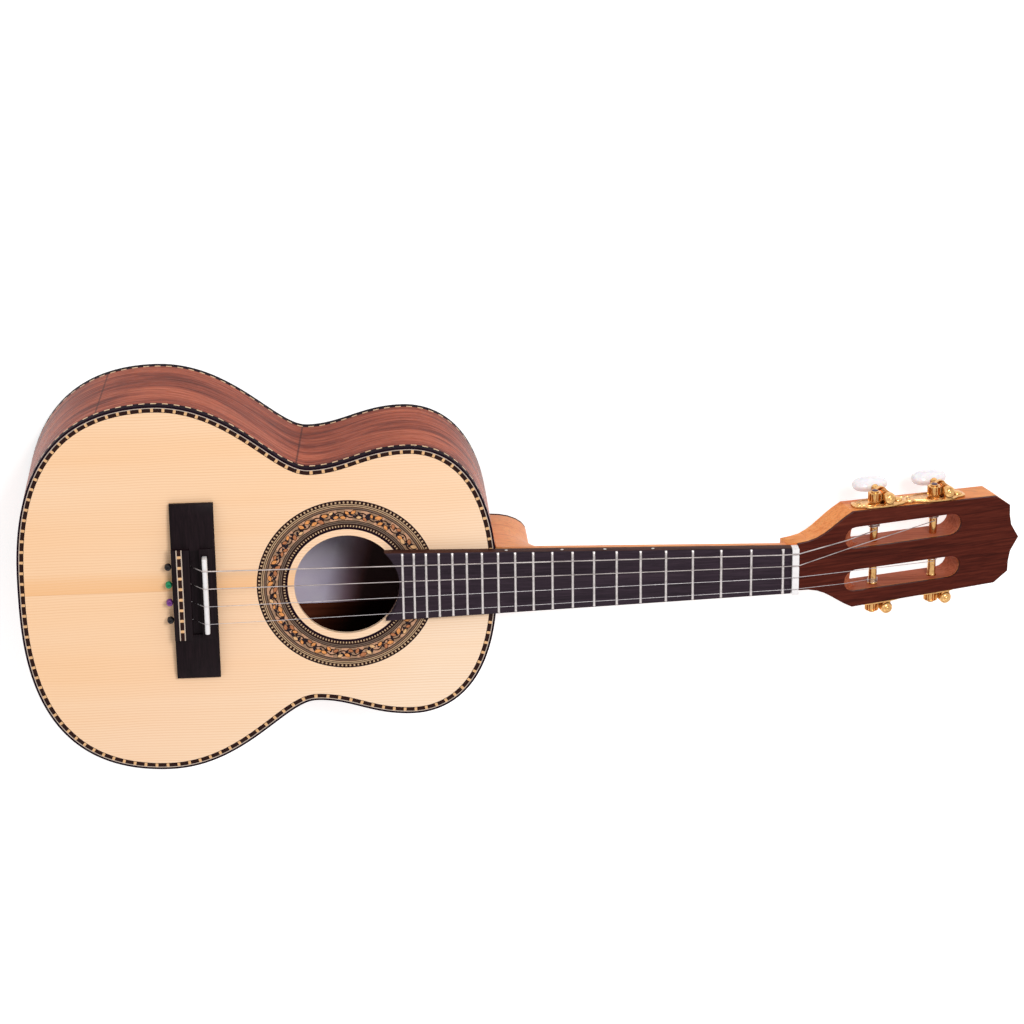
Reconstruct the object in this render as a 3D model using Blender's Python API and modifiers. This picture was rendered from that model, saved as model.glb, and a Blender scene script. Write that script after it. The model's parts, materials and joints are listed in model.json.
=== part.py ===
"""Cavaquinho with a slotted head, four steel strings and open worm-and-gear tuners.

It lies on its flat back. X runs along the neck from tail to head, Y across it towards the bass side, Z out
of the soundboard. The origin is on the outside of the back, under the point where the scale length ends.
"""

import math

import bmesh
import bpy
from mathutils import Matrix, Vector

# Clearances, in metres as all sizes here
GAP = 0.0003
MESH_CLEARANCE = 0.00025
SLOT_CLEARANCE = 0.0006

# Scale and neck
SCALE_LENGTH = 0.340
JOINT_FRET = 12
FRET_COUNT = 19
NECK_ANGLE = math.radians(0.6)
BOARD_THICKNESS = 0.0059
BOARD_WIDTH_AT_NUT = 0.0294
BOARD_WIDTH_AT_LAST_FRET = 0.0426
FRET_RADIUS = 0.0010
FRET_INSET = 0.0004
ZERO_FRET_HEIGHT = 0.0012
ZERO_FRET_WIDTH = 0.0022
FRET_TANG = 0.0005
FRET_TANG_DEPTH = 0.0018
NUT_DISTANCE = 0.0054
NUT_LENGTH = 0.0040
NUT_ABOVE_BOARD = 0.0022
NECK_DEPTH_AT_NUT = 0.0140
NECK_DEPTH_AT_HEEL = 0.0160

# Body: places along X are distances from the joint of neck and body
BODY_DEPTH = 0.0800
BODY_LENGTH = 0.2831
LOWER_BOUT_FROM_JOINT = 0.1993
LOWER_BOUT_WIDTH = 0.2308
WAIST_FROM_JOINT = 0.1100
WAIST_WIDTH = 0.1476
UPPER_BOUT_FROM_JOINT = 0.0521
UPPER_BOUT_WIDTH = 0.1696
TAIL_FLATNESS = 0.0337
LOWER_BOUT_FULLNESS_BACK = 0.0830
LOWER_BOUT_FULLNESS_FRONT = 0.0454
WAIST_FULLNESS_BACK = 0.0185
WAIST_FULLNESS_FRONT = 0.0211
UPPER_BOUT_FULLNESS_BACK = 0.0253
UPPER_BOUT_FULLNESS_FRONT = 0.0140
SHOULDER_FLATNESS = 0.0780
CURVE_STEPS = 8
TOP_THICKNESS = 0.0025
BACK_THICKNESS = 0.0025
SIDE_THICKNESS = 0.0020
BINDING_HEIGHT = 0.0060
PURFLING_WIDTH = 0.0018
INLAY_DEPTH = 0.0012
LINING_WIDTH = 0.0055
LINING_HEIGHT = 0.0110
NECK_BLOCK_WIDTH = 0.0560
NECK_BLOCK_LENGTH = 0.0190
TAIL_BLOCK_WIDTH = 0.0520
TAIL_BLOCK_LENGTH = 0.0130
END_GRAFT_WIDTH = 0.0120

# Sound hole, rosette and label
SOUND_HOLE_FROM_JOINT = 0.0895
SOUND_HOLE_RADIUS = 0.0312
ROSETTE_INNER_RADIUS = 0.0350
ROSETTE_OUTER_RADIUS = 0.0533
LABEL_LENGTH = 0.0640
LABEL_WIDTH = 0.0840
LABEL_THICKNESS = 0.0003

# Braces: widths, heights and distances from the joint
BRACE_END_HEIGHT = 0.0030
BRACE_END_TAPER = 0.0200
BRACE_END_GAP = 0.0010
TOP_BRACE_WIDTH = 0.0060
TOP_BRACE_HEIGHT = 0.0130
UPPER_TOP_BRACE_FROM_JOINT = 0.0310
LOWER_TOP_BRACE_FROM_PLATE = 0.0131
FAN_BRACE_WIDTH = 0.0050
FAN_BRACE_HEIGHT = 0.0065
FAN_BRACE_FROM_TAIL_BLOCK = 0.0198
FAN_BRACE_SPREAD = math.radians(12)
FAN_BRACE_SPACING = 0.0360
BACK_BRACE_WIDTH = 0.0070
BACK_BRACE_HEIGHT = 0.0120
UPPER_BACK_BRACE_FROM_JOINT = 0.0420
MIDDLE_BACK_BRACE_FROM_JOINT = 0.1300
LOWER_BACK_BRACE_FROM_JOINT = 0.2180
BRIDGE_PLATE_LENGTH = 0.0340
BRIDGE_PLATE_WIDTH = 0.1280
BRIDGE_PLATE_THICKNESS = 0.0020

# Bridge, saddle and the strings behind them
BRIDGE_BACK_X = -0.0220
BRIDGE_FRONT_X = 0.0038
BRIDGE_WIDTH = 0.1104
BRIDGE_WING_HEIGHT = 0.0050
BRIDGE_WING_END_HEIGHT = 0.0028
TIE_BLOCK_WIDTH = 0.0570
TIE_BLOCK_LENGTH = 0.0107
TIE_BLOCK_HEIGHT = 0.0088
CHANNEL_LENGTH = 0.0058
CHANNEL_FLOOR = 0.0026
SADDLE_RIDGE_HEIGHT = 0.0074
SADDLE_RIDGE_FRONT_HEIGHT = 0.0056
COMPENSATION = 0.0025
SADDLE_THICKNESS = 0.0030
SADDLE_LENGTH = 0.0476
SADDLE_HEIGHT = 0.0128
SADDLE_SLOT_FLOOR = 0.0034
INLAY_WIDTH = 0.0035
INLAY_FROM_BACK = 0.0029
STRING_HOLE_RADIUS = 0.0010
STRING_HOLE_HEIGHT = 0.0042
BALL_RADIUS = 0.0019
STRING_SPACING_AT_SADDLE = 0.0112
STRING_SPACING_AT_NUT = 0.00745

# Head, in its own frame: along the head, across it, and down from its face
HEAD_ANGLE = math.radians(15.1)
HEAD_START = 0.0002
HEAD_FACE_ABOVE_NECK = 0.0005
HEADPLATE_THICKNESS = 0.0020
HEAD_THICKNESS = 0.0178
HEAD_THICKNESS_AT_NUT = 0.0112
HEAD_BLEND_LENGTH = 0.0260
HEAD_HALF_WIDTH_AT_NUT = 0.0148
HEAD_CORNER_X = 0.0360
HEAD_HALF_WIDTH_AT_CORNER = 0.0305
HEAD_SHOULDER_START = 0.0180
HEAD_SHOULDER_END = 0.0220
HEAD_SHOULDER_WIDTH = 0.0235
HEAD_FAR_CORNER_X = 0.1311
HEAD_HALF_WIDTH_AT_FAR_CORNER = 0.0281
CREST_X = 0.1402
CREST_HALF_WIDTH = 0.0215
CREST_HOLLOW_X = 0.1404
CREST_HOLLOW_HALF_WIDTH = 0.0150
CREST_NOTCH_X = 0.1416
CREST_NOTCH_HALF_WIDTH = 0.0085
TIP_X = 0.1467
SLOT_NEAR_X = 0.0305
SLOT_FAR_X = 0.1080
SLOT_CENTRE_Y = 0.0137
SLOT_WIDTH = 0.0140
RAMP_LENGTH = 0.0062
RAMP_ANGLE = math.radians(30)

# Heel
HEEL_HALF_WIDTH = 0.0120
HEEL_LENGTH = 0.0225
HEEL_CAP_THICKNESS = 0.0020
TENON_WIDTH = 0.0180
TENON_LENGTH = 0.0120
TENON_BOTTOM = 0.0120
TENON_TOP = 0.0680

# Tuners: posts run along Y, worms along the head's depth
POST_DEPTH = 0.0089
NEAR_POST_X = 0.0535
POST_SPACING = 0.0395
POST_BARREL_RADIUS = 0.0025
POST_WAIST_RADIUS = 0.0022
POST_BEARING_RADIUS = 0.0029
POST_TIP_RADIUS = 0.0020
POST_TIP_LENGTH = 0.0040
POST_SEAT_RADIUS = 0.0016
POST_CAP_RADIUS = 0.0024
POST_CAP_THICKNESS = 0.0008
POST_STRING_HOLE_RADIUS = 0.0006
PLATE_THICKNESS = 0.0012
PLATE_NEAR_X = 0.0385
PLATE_FAR_X = 0.1130
PLATE_LOBE_HEIGHT = 0.0150
PLATE_NECK_HEIGHT = 0.0100
PLATE_CENTRE_DEPTH = 0.0089
BOSS_RADIUS = 0.0030
BOSS_OFFSET = 0.0150
GEAR_TEETH = 14
GEAR_MODULE = 0.00053
GEAR_THICKNESS = 0.0052
GEAR_STANDOFF = 0.0012
WORM_ROOT_RADIUS = 0.0022
WORM_TURNS = 3.6
WORM_STEPS = 10
WORM_SHAFT_RADIUS = 0.0013
WORM_ENDS = 0.0001
EAR_FOOT_THICKNESS = 0.0026
EAR_FOOT_WIDTH = 0.0052
EAR_RIM = 0.0010
EAR_RADIUS = 0.0037
EAR_STANDOFF = 0.0005
FERRULE_RADIUS = 0.0023
FERRULE_LENGTH = 0.0026
BUTTON_LENGTH = 0.0220
BUTTON_HEIGHT = 0.0135
BUTTON_THICKNESS = 0.0095
BUTTON_BELOW_HEAD = 0.0060
BUTTON_BORE_DEPTH = 0.0060

# Strings, from the bass side: name, radius, post it goes to and where it meets the post
STRING_NUMBERS = (4, 3, 2, 1)
STRING_RADII = (0.00037, 0.00028, 0.00018, 0.00015)
WINDING_TURNS = 3
WINDING_STEPS = 24
WINDING_SPACE = 0.00046
WINDING_WALL_GAP = 0.0008

# Worked out from the sizes above
JOINT_X = SCALE_LENGTH * 2 ** (-JOINT_FRET / 12)
LAST_FRET_X = SCALE_LENGTH * 2 ** (-FRET_COUNT / 12)
FRONT_X = JOINT_X - GAP
TAIL_X = JOINT_X - BODY_LENGTH
LOWER_BOUT_X = JOINT_X - LOWER_BOUT_FROM_JOINT
WAIST_X = JOINT_X - WAIST_FROM_JOINT
UPPER_BOUT_X = JOINT_X - UPPER_BOUT_FROM_JOINT
SOUND_HOLE_X = JOINT_X - SOUND_HOLE_FROM_JOINT
UPPER_TOP_BRACE_X = JOINT_X - UPPER_TOP_BRACE_FROM_JOINT
BRIDGE_MIDDLE_X = (BRIDGE_BACK_X + BRIDGE_FRONT_X) / 2
LOWER_TOP_BRACE_X = (
    BRIDGE_MIDDLE_X + BRIDGE_PLATE_LENGTH / 2 + LOWER_TOP_BRACE_FROM_PLATE + TOP_BRACE_WIDTH / 2
)
UPPER_BACK_BRACE_X = JOINT_X - UPPER_BACK_BRACE_FROM_JOINT
MIDDLE_BACK_BRACE_X = JOINT_X - MIDDLE_BACK_BRACE_FROM_JOINT
LOWER_BACK_BRACE_X = JOINT_X - LOWER_BACK_BRACE_FROM_JOINT
SADDLE_X = -COMPENSATION
NUT_X = SCALE_LENGTH + NUT_DISTANCE
NECK_END_X = NUT_X + NUT_LENGTH + GAP
BOARD_SLOPE = math.tan(NECK_ANGLE)
GEAR_PITCH = math.pi * GEAR_MODULE
GEAR_PITCH_RADIUS = GEAR_MODULE * GEAR_TEETH / 2
GEAR_TIP_RADIUS = GEAR_PITCH_RADIUS + GEAR_MODULE
GEAR_ROOT_RADIUS = GEAR_PITCH_RADIUS - 1.25 * GEAR_MODULE
WORM_DISTANCE = GEAR_TIP_RADIUS + WORM_ROOT_RADIUS + MESH_CLEARANCE
WORM_TIP_RADIUS = WORM_DISTANCE - GEAR_ROOT_RADIUS - MESH_CLEARANCE
HEAD_BACK = HEADPLATE_THICKNESS + GAP + HEAD_THICKNESS
SLOT_OUTER_Y = SLOT_CENTRE_Y + SLOT_WIDTH / 2
SLOT_INNER_Y = SLOT_CENTRE_Y - SLOT_WIDTH / 2

SMOOTH_ANGLE = math.radians(35)
FLAT_ANGLE = math.radians(0.05)


# Scene, collections and materials

for old in list(bpy.data.objects):
    bpy.data.objects.remove(old, do_unlink=True)

parts = bpy.data.collections.new("cavaquinho")
cutters = bpy.data.collections.new("cutters")
bpy.context.scene.collection.children.link(parts)
bpy.context.scene.collection.children.link(cutters)


def material(name, colour, roughness, metallic=0.0):
    made = bpy.data.materials.new(name)
    made.use_nodes = True
    made.diffuse_color = (*colour, 1)
    shader = made.node_tree.nodes["Principled BSDF"]
    shader.inputs["Base Color"].default_value = (*colour, 1)
    shader.inputs["Roughness"].default_value = roughness
    shader.inputs["Metallic"].default_value = metallic
    return made


SPRUCE = material("spruce", (0.87, 0.62, 0.36), 0.35)
ROSEWOOD = material("rosewood", (0.25, 0.08, 0.045), 0.3)
CEDAR = material("cedar", (0.80, 0.33, 0.13), 0.35)
EBONY = material("ebony", (0.035, 0.025, 0.028), 0.4)
PALE_WOOD = material("pale_wood", (0.72, 0.52, 0.30), 0.6)
BLACK_PLASTIC = material("black_plastic", (0.02, 0.015, 0.015), 0.3)
BONE = material("bone", (0.88, 0.87, 0.85), 0.35)
GOLD = material("gold", (0.83, 0.58, 0.22), 0.25, 1.0)
STEEL = material("steel", (0.70, 0.70, 0.71), 0.25, 1.0)
PEARL = material("pearl", (0.88, 0.87, 0.90), 0.2)
PAPER = material("paper", (0.70, 0.70, 0.82), 0.8)
MARQUETRY = material("marquetry", (0.45, 0.24, 0.12), 0.35)


# Modelling helpers


def add_object(name, mesh, surface, parent=None):
    made = bpy.data.objects.new(name, mesh)
    parts.objects.link(made)
    made.parent = parent
    if surface:
        made.data.materials.clear()
        made.data.materials.append(surface)
    return made


def smooth(made):
    made.data.shade_smooth()
    made.data.set_sharp_from_angle(angle=SMOOTH_ANGLE)
    return made


def empty(name, location, rotation=(0, 0, 0), parent=None):
    made = bpy.data.objects.new(name, None)
    parts.objects.link(made)
    made.location = location
    made.rotation_euler = rotation
    made.parent = parent
    made.empty_display_size = 0.01
    return made


def curve_to_mesh(made):
    """The curve's evaluated form as a closed mesh, in the curve's own frame. The curve is removed."""
    parts.objects.link(made)
    bpy.context.view_layer.update()
    mesh = bpy.data.meshes.new_from_object(made.evaluated_get(bpy.context.evaluated_depsgraph_get()))
    form = bmesh.new()
    form.from_mesh(mesh)
    bmesh.ops.remove_doubles(form, verts=form.verts, dist=1e-7)
    bmesh.ops.recalc_face_normals(form, faces=form.faces)
    form.to_mesh(mesh)
    form.free()
    bpy.data.objects.remove(made, do_unlink=True)
    return mesh


def prism_mesh(name, loops, bottom, top):
    """A flat outline with any holes, between two heights along Z."""
    curve = bpy.data.curves.new(name, "CURVE")
    curve.dimensions = "2D"
    curve.fill_mode = "BOTH"
    curve.extrude = (top - bottom) / 2
    for loop in loops:
        spline = curve.splines.new("POLY")
        spline.points.add(len(loop) - 1)
        for point, (x, y) in zip(spline.points, loop):
            point.co = (x, y, 0, 1)
        spline.use_cyclic_u = True
    mesh = curve_to_mesh(bpy.data.objects.new(name, curve))
    form = bmesh.new()
    form.from_mesh(mesh)
    bmesh.ops.dissolve_limit(form, angle_limit=FLAT_ANGLE, verts=form.verts, edges=form.edges)
    bmesh.ops.translate(form, vec=(0, 0, (top + bottom) / 2), verts=form.verts)
    form.to_mesh(mesh)
    form.free()
    return mesh


def prism(name, loops, bottom, top, surface, parent=None):
    return smooth(add_object(name, prism_mesh(name, loops, bottom, top), surface, parent))


def box(name, low, high, surface=None, parent=None):
    """A box from its lowest to its highest corner."""
    form = bmesh.new()
    bmesh.ops.create_cube(form, size=1)
    size = Vector(high) - Vector(low)
    bmesh.ops.scale(form, vec=size, verts=form.verts)
    bmesh.ops.translate(form, vec=(Vector(high) + Vector(low)) / 2, verts=form.verts)
    mesh = bpy.data.meshes.new(name)
    form.to_mesh(mesh)
    form.free()
    return add_object(name, mesh, surface, parent)


def turned(name, profile, surface, parent=None, steps=16):
    """A turned shape about Z: the profile is (radius, height) pairs from the top down its outer side."""
    form = bmesh.new()
    line = [(0, profile[0][1]), *profile, (0, profile[-1][1])]
    corners = [form.verts.new((radius, 0, height)) for radius, height in line]
    for first, second in zip(corners, corners[1:]):
        form.edges.new((first, second))
    mesh = bpy.data.meshes.new(name)
    form.to_mesh(mesh)
    form.free()
    made = add_object(name, mesh, surface, parent)
    screw = made.modifiers.new("Turn", "SCREW")
    screw.steps = steps
    screw.render_steps = steps
    screw.use_merge_vertices = True
    screw.merge_threshold = 1e-6
    return made


def apply_modifiers(made):
    """The object's evaluated form becomes its mesh, shaded smooth over its gentle edges."""
    bpy.context.view_layer.update()
    mesh = bpy.data.meshes.new_from_object(made.evaluated_get(bpy.context.evaluated_depsgraph_get()))
    made.modifiers.clear()
    made.data = mesh
    return smooth(made)


def loft(name, rings, surface, parent=None):
    """A closed skin over rings of equal point counts, capped at both ends."""
    form = bmesh.new()
    layers = [[form.verts.new(point) for point in ring] for ring in rings]
    count = len(layers[0])
    for lower, upper in zip(layers, layers[1:]):
        for i in range(count):
            form.faces.new((lower[i], lower[(i + 1) % count], upper[(i + 1) % count], upper[i]))
    form.faces.new(layers[0])
    form.faces.new(layers[-1])
    bmesh.ops.recalc_face_normals(form, faces=form.faces)
    mesh = bpy.data.meshes.new(name)
    form.to_mesh(mesh)
    form.free()
    return smooth(add_object(name, mesh, surface, parent))


def tube(name, route, radius, resolution, surface, parent=None):
    """A round wire along a list of points."""
    curve = bpy.data.curves.new(name, "CURVE")
    curve.dimensions = "3D"
    curve.bevel_depth = radius
    curve.bevel_resolution = resolution
    curve.use_fill_caps = True
    spline = curve.splines.new("POLY")
    spline.points.add(len(route) - 1)
    for point, place in zip(spline.points, route):
        point.co = (*place, 1)
    return add_object(name, curve, surface, parent)


def as_tool(made):
    """A shape that only cuts or joins another, kept out of the render."""
    parts.objects.unlink(made)
    cutters.objects.link(made)
    made.hide_render = True
    made.display_type = "WIRE"
    return made


def boolean(target, tool, operation):
    change = target.modifiers.new(tool.name, "BOOLEAN")
    change.operation = operation
    change.solver = "EXACT"
    change.object = as_tool(tool)


def cut(target, *tools):
    for tool in tools:
        boolean(target, tool, "DIFFERENCE")


def join(target, *tools):
    for tool in tools:
        boolean(target, tool, "UNION")


def rod(name, radius, start, end, parent=None, sides=16):
    """A round bar between two points, for bores and pins."""
    form = bmesh.new()
    way = Vector(end) - Vector(start)
    bmesh.ops.create_cone(form, cap_ends=True, segments=sides, radius1=radius, radius2=radius, depth=way.length)
    turn = Vector((0, 0, 1)).rotation_difference(way).to_matrix().to_4x4()
    middle = (Vector(start) + Vector(end)) / 2
    bmesh.ops.transform(form, matrix=Matrix.Translation(middle) @ turn, verts=form.verts)
    mesh = bpy.data.meshes.new(name)
    form.to_mesh(mesh)
    form.free()
    return add_object(name, mesh, None, parent)


# Outlines


def bezier(start, near, far, end, count):
    """Points of a cubic curve from its start up to, but without, its end."""
    points = []
    for i in range(count):
        t = i / count
        weights = ((1 - t) ** 3, 3 * t * (1 - t) ** 2, 3 * t * t * (1 - t), t**3)
        points.append(
            tuple(sum(w * p[k] for w, p in zip(weights, (start, near, far, end))) for k in (0, 1))
        )
    return points


def body_half():
    """The bass half of the body's outline, from the middle of the tail to the middle of the front."""
    tail, front = (TAIL_X, 0), (FRONT_X, 0)
    lower = (LOWER_BOUT_X, LOWER_BOUT_WIDTH / 2)
    waist = (WAIST_X, WAIST_WIDTH / 2)
    upper = (UPPER_BOUT_X, UPPER_BOUT_WIDTH / 2)
    points = bezier(
        tail, (TAIL_X, TAIL_FLATNESS), (lower[0] - LOWER_BOUT_FULLNESS_BACK, lower[1]), lower, 2 * CURVE_STEPS
    )
    points += bezier(
        lower,
        (lower[0] + LOWER_BOUT_FULLNESS_FRONT, lower[1]),
        (waist[0] - WAIST_FULLNESS_BACK, waist[1]),
        waist,
        CURVE_STEPS,
    )
    points += bezier(
        waist,
        (waist[0] + WAIST_FULLNESS_FRONT, waist[1]),
        (upper[0] - UPPER_BOUT_FULLNESS_BACK, upper[1]),
        upper,
        CURVE_STEPS // 2,
    )
    points += bezier(
        upper,
        (upper[0] + UPPER_BOUT_FULLNESS_FRONT, upper[1]),
        (FRONT_X, SHOULDER_FLATNESS),
        front,
        CURVE_STEPS + CURVE_STEPS // 2,
    )
    return [*points, front]


def mirrored(half):
    """A whole outline from a half that starts and ends on the middle line."""
    return half + [(x, -y) for x, y in reversed(half[1:-1])]


def inset(outline, distance):
    """A closed outline moved inwards. It runs clockwise seen from above."""
    moved = []
    count = len(outline)
    for i in range(count):
        before, here, after = (Vector(outline[(i + k) % count]) for k in (-1, 0, 1))
        first = (here - before).normalized()
        second = (after - here).normalized()
        normal = Vector((first.y + second.y, -first.x - second.x)).normalized()
        scale = distance / max(0.5, normal.dot(Vector((first.y, -first.x))))
        moved.append(tuple(here + normal * scale))
    return moved


BODY_HALF = body_half()
HALF_COUNT = len(BODY_HALF)
BODY_OUTLINE = mirrored(BODY_HALF)


def body_inset(distance):
    return inset(BODY_OUTLINE, distance)


def half_inset(distance):
    """The bass half of the outline, moved inwards, from tail to front."""
    return body_inset(distance)[:HALF_COUNT]


def x_where(half, limit, at_front):
    """Where the half outline first reaches a distance from the middle line, from one of its ends."""
    points = list(reversed(half)) if at_front else half
    for (x0, y0), (x1, y1) in zip(points, points[1:]):
        if y0 <= limit <= y1:
            return x0 + (x1 - x0) * (limit - y0) / (y1 - y0)
    raise ValueError("the outline never gets that wide")


def between_ends(half, tail_limit, front_limit):
    """The part of a half outline outside two distances from the middle line, at tail and front."""
    middle = [
        (x, y)
        for i, (x, y) in enumerate(half)
        if y > (tail_limit if i < len(half) // 2 else front_limit) + 1e-6
    ]
    start = (x_where(half, tail_limit, False), tail_limit)
    end = (x_where(half, front_limit, True), front_limit)
    return [start, *middle, end]


def end_piece(half, limit, at_front):
    """The part of an outline within a distance from the middle line, from bass to treble."""
    points = list(reversed(half)) if at_front else half
    near = [(x, y) for x, y in points[: len(points) // 2] if y < limit - 1e-6]
    edge = (x_where(half, limit, at_front), limit)
    rising = [*near, edge]
    return [*reversed(rising), *[(x, -y) for x, y in rising[1:]]]


def half_width_at(half, x):
    """How far a half outline lies from the middle line at a place along X."""
    for (x0, y0), (x1, y1) in zip(half, half[1:]):
        if min(x0, x1) <= x <= max(x0, x1) and x0 != x1:
            return y0 + (y1 - y0) * (x - x0) / (x1 - x0)
    raise ValueError("that place lies outside the body")


def circle(x, radius, count):
    return [
        (x + radius * math.cos(2 * math.pi * i / count), radius * math.sin(2 * math.pi * i / count))
        for i in range(count)
    ]


def flipped(points, side):
    return [(x, side * y) for x, y in points]


# Body: sides, bindings, plates


def make_sides():
    bottom = BINDING_HEIGHT + GAP
    top = BODY_DEPTH - BINDING_HEIGHT - GAP
    tail_limit = END_GRAFT_WIDTH / 2 + GAP
    front_limit = TENON_WIDTH / 2 + GAP
    outer = between_ends(half_inset(0), tail_limit, front_limit)
    inner = between_ends(half_inset(SIDE_THICKNESS), tail_limit, front_limit)
    for name, side in (("side_bass", 1), ("side_treble", -1)):
        prism(name, [flipped(outer + inner[::-1], side)], bottom, top, ROSEWOOD)
    half_graft = END_GRAFT_WIDTH / 2
    graft_outer = end_piece(half_inset(0), half_graft, False)
    graft_inner = end_piece(half_inset(SIDE_THICKNESS), half_graft, False)
    prism("end_graft", [graft_outer + graft_inner[::-1]], bottom, top, EBONY)


def make_bindings():
    ring = [body_inset(0), body_inset(SIDE_THICKNESS)]
    prism("top_binding", ring, BODY_DEPTH - BINDING_HEIGHT, BODY_DEPTH, BLACK_PLASTIC)
    prism("back_binding", ring, 0, BINDING_HEIGHT, BLACK_PLASTIC)


def make_soundboard():
    edge = SIDE_THICKNESS + GAP
    hole = circle(SOUND_HOLE_X, SOUND_HOLE_RADIUS, 48)
    board = prism("soundboard", [body_inset(edge), hole], BODY_DEPTH - TOP_THICKNESS, BODY_DEPTH, SPRUCE)
    floor = BODY_DEPTH - INLAY_DEPTH
    above = BODY_DEPTH + INLAY_DEPTH
    rebate = [body_inset(-SIDE_THICKNESS), body_inset(edge + PURFLING_WIDTH + 2 * GAP)]
    ring = [
        circle(SOUND_HOLE_X, ROSETTE_OUTER_RADIUS + GAP, 48),
        circle(SOUND_HOLE_X, ROSETTE_INNER_RADIUS - GAP, 48),
    ]
    cut(
        board,
        prism("purfling_rebate", rebate, floor, above, None),
        prism("rosette_channel", ring, floor, above, None),
    )
    apply_modifiers(board)
    purfling = [body_inset(edge + GAP), body_inset(edge + GAP + PURFLING_WIDTH)]
    prism("top_purfling", purfling, floor + GAP, BODY_DEPTH, PALE_WOOD)
    rosette = [
        circle(SOUND_HOLE_X, ROSETTE_OUTER_RADIUS, 48),
        circle(SOUND_HOLE_X, ROSETTE_INNER_RADIUS, 48),
    ]
    prism("rosette", rosette, floor + GAP, BODY_DEPTH, MARQUETRY)


def make_back():
    prism("back", [body_inset(SIDE_THICKNESS + GAP)], 0, BACK_THICKNESS, ROSEWOOD)
    label_centre = (UPPER_BACK_BRACE_X + MIDDLE_BACK_BRACE_X) / 2
    box(
        "label",
        (label_centre - LABEL_LENGTH / 2, -LABEL_WIDTH / 2, BACK_THICKNESS + GAP),
        (label_centre + LABEL_LENGTH / 2, LABEL_WIDTH / 2, BACK_THICKNESS + GAP + LABEL_THICKNESS),
        PAPER,
    )


# Body: blocks, linings, braces


def make_blocks():
    bottom = BACK_THICKNESS + GAP
    top = BODY_DEPTH - TOP_THICKNESS - GAP
    inner = half_inset(SIDE_THICKNESS + GAP)
    front = end_piece(inner, NECK_BLOCK_WIDTH / 2, True)
    front_face = inner[-1][0] - NECK_BLOCK_LENGTH
    front += [(front_face, -NECK_BLOCK_WIDTH / 2), (front_face, NECK_BLOCK_WIDTH / 2)]
    block = prism("neck_block", [front], bottom, top, CEDAR)
    tail = end_piece(inner, TAIL_BLOCK_WIDTH / 2, False)
    tail_face = inner[0][0] + TAIL_BLOCK_LENGTH
    tail += [(tail_face, -TAIL_BLOCK_WIDTH / 2), (tail_face, TAIL_BLOCK_WIDTH / 2)]
    prism("tail_block", [tail], bottom, top, CEDAR)
    mortise = box(
        "mortise",
        (JOINT_X - TENON_LENGTH - GAP, -TENON_WIDTH / 2 - GAP, TENON_BOTTOM - GAP),
        (JOINT_X + TENON_LENGTH, TENON_WIDTH / 2 + GAP, TENON_TOP + GAP),
    )
    cut(block, mortise)
    apply_modifiers(block)


def make_linings():
    outer = half_inset(SIDE_THICKNESS + GAP)
    inner = half_inset(SIDE_THICKNESS + GAP + LINING_WIDTH)
    limits = (TAIL_BLOCK_WIDTH / 2 + GAP, NECK_BLOCK_WIDTH / 2 + GAP)
    strip = between_ends(outer, *limits) + between_ends(inner, *limits)[::-1]
    top = BODY_DEPTH - TOP_THICKNESS - GAP
    bottom = BACK_THICKNESS + GAP
    for name, side in (("bass", 1), ("treble", -1)):
        outline = [flipped(strip, side)]
        prism("top_lining_" + name, outline, top - LINING_HEIGHT, top, PALE_WOOD)
        prism("back_lining_" + name, outline, bottom, bottom + LINING_HEIGHT, PALE_WOOD)


def brace(name, centre, direction, length, width, height, base, up):
    """A bar with tapered ends that stands on a plate. up is 1 on the back and -1 under the soundboard."""
    half = length / 2
    end = min(BRACE_END_HEIGHT, height)
    taper = min(BRACE_END_TAPER, half / 2)
    profile = [(-half, 0), (half, 0), (half, end), (half - taper, height), (taper - half, height), (-half, end)]
    mesh = prism_mesh(name, [profile], -width / 2, width / 2)
    along = Vector((math.cos(direction), math.sin(direction), 0))
    rise = Vector((0, 0, up))
    across = along.cross(rise)
    turn = Matrix((along, rise, across)).transposed().to_4x4()
    mesh.transform(Matrix.Translation((centre[0], centre[1], base)) @ turn)
    return add_object(name, mesh, PALE_WOOD)


def cross_brace(name, x, width, height, base, up):
    room = half_inset(SIDE_THICKNESS + GAP + LINING_WIDTH + BRACE_END_GAP)
    narrowest = min(half_width_at(room, x + k * width / 2) for k in (-1, 0, 1))
    brace(name, (x, 0), math.pi / 2, 2 * narrowest, width, height, base, up)


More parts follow.
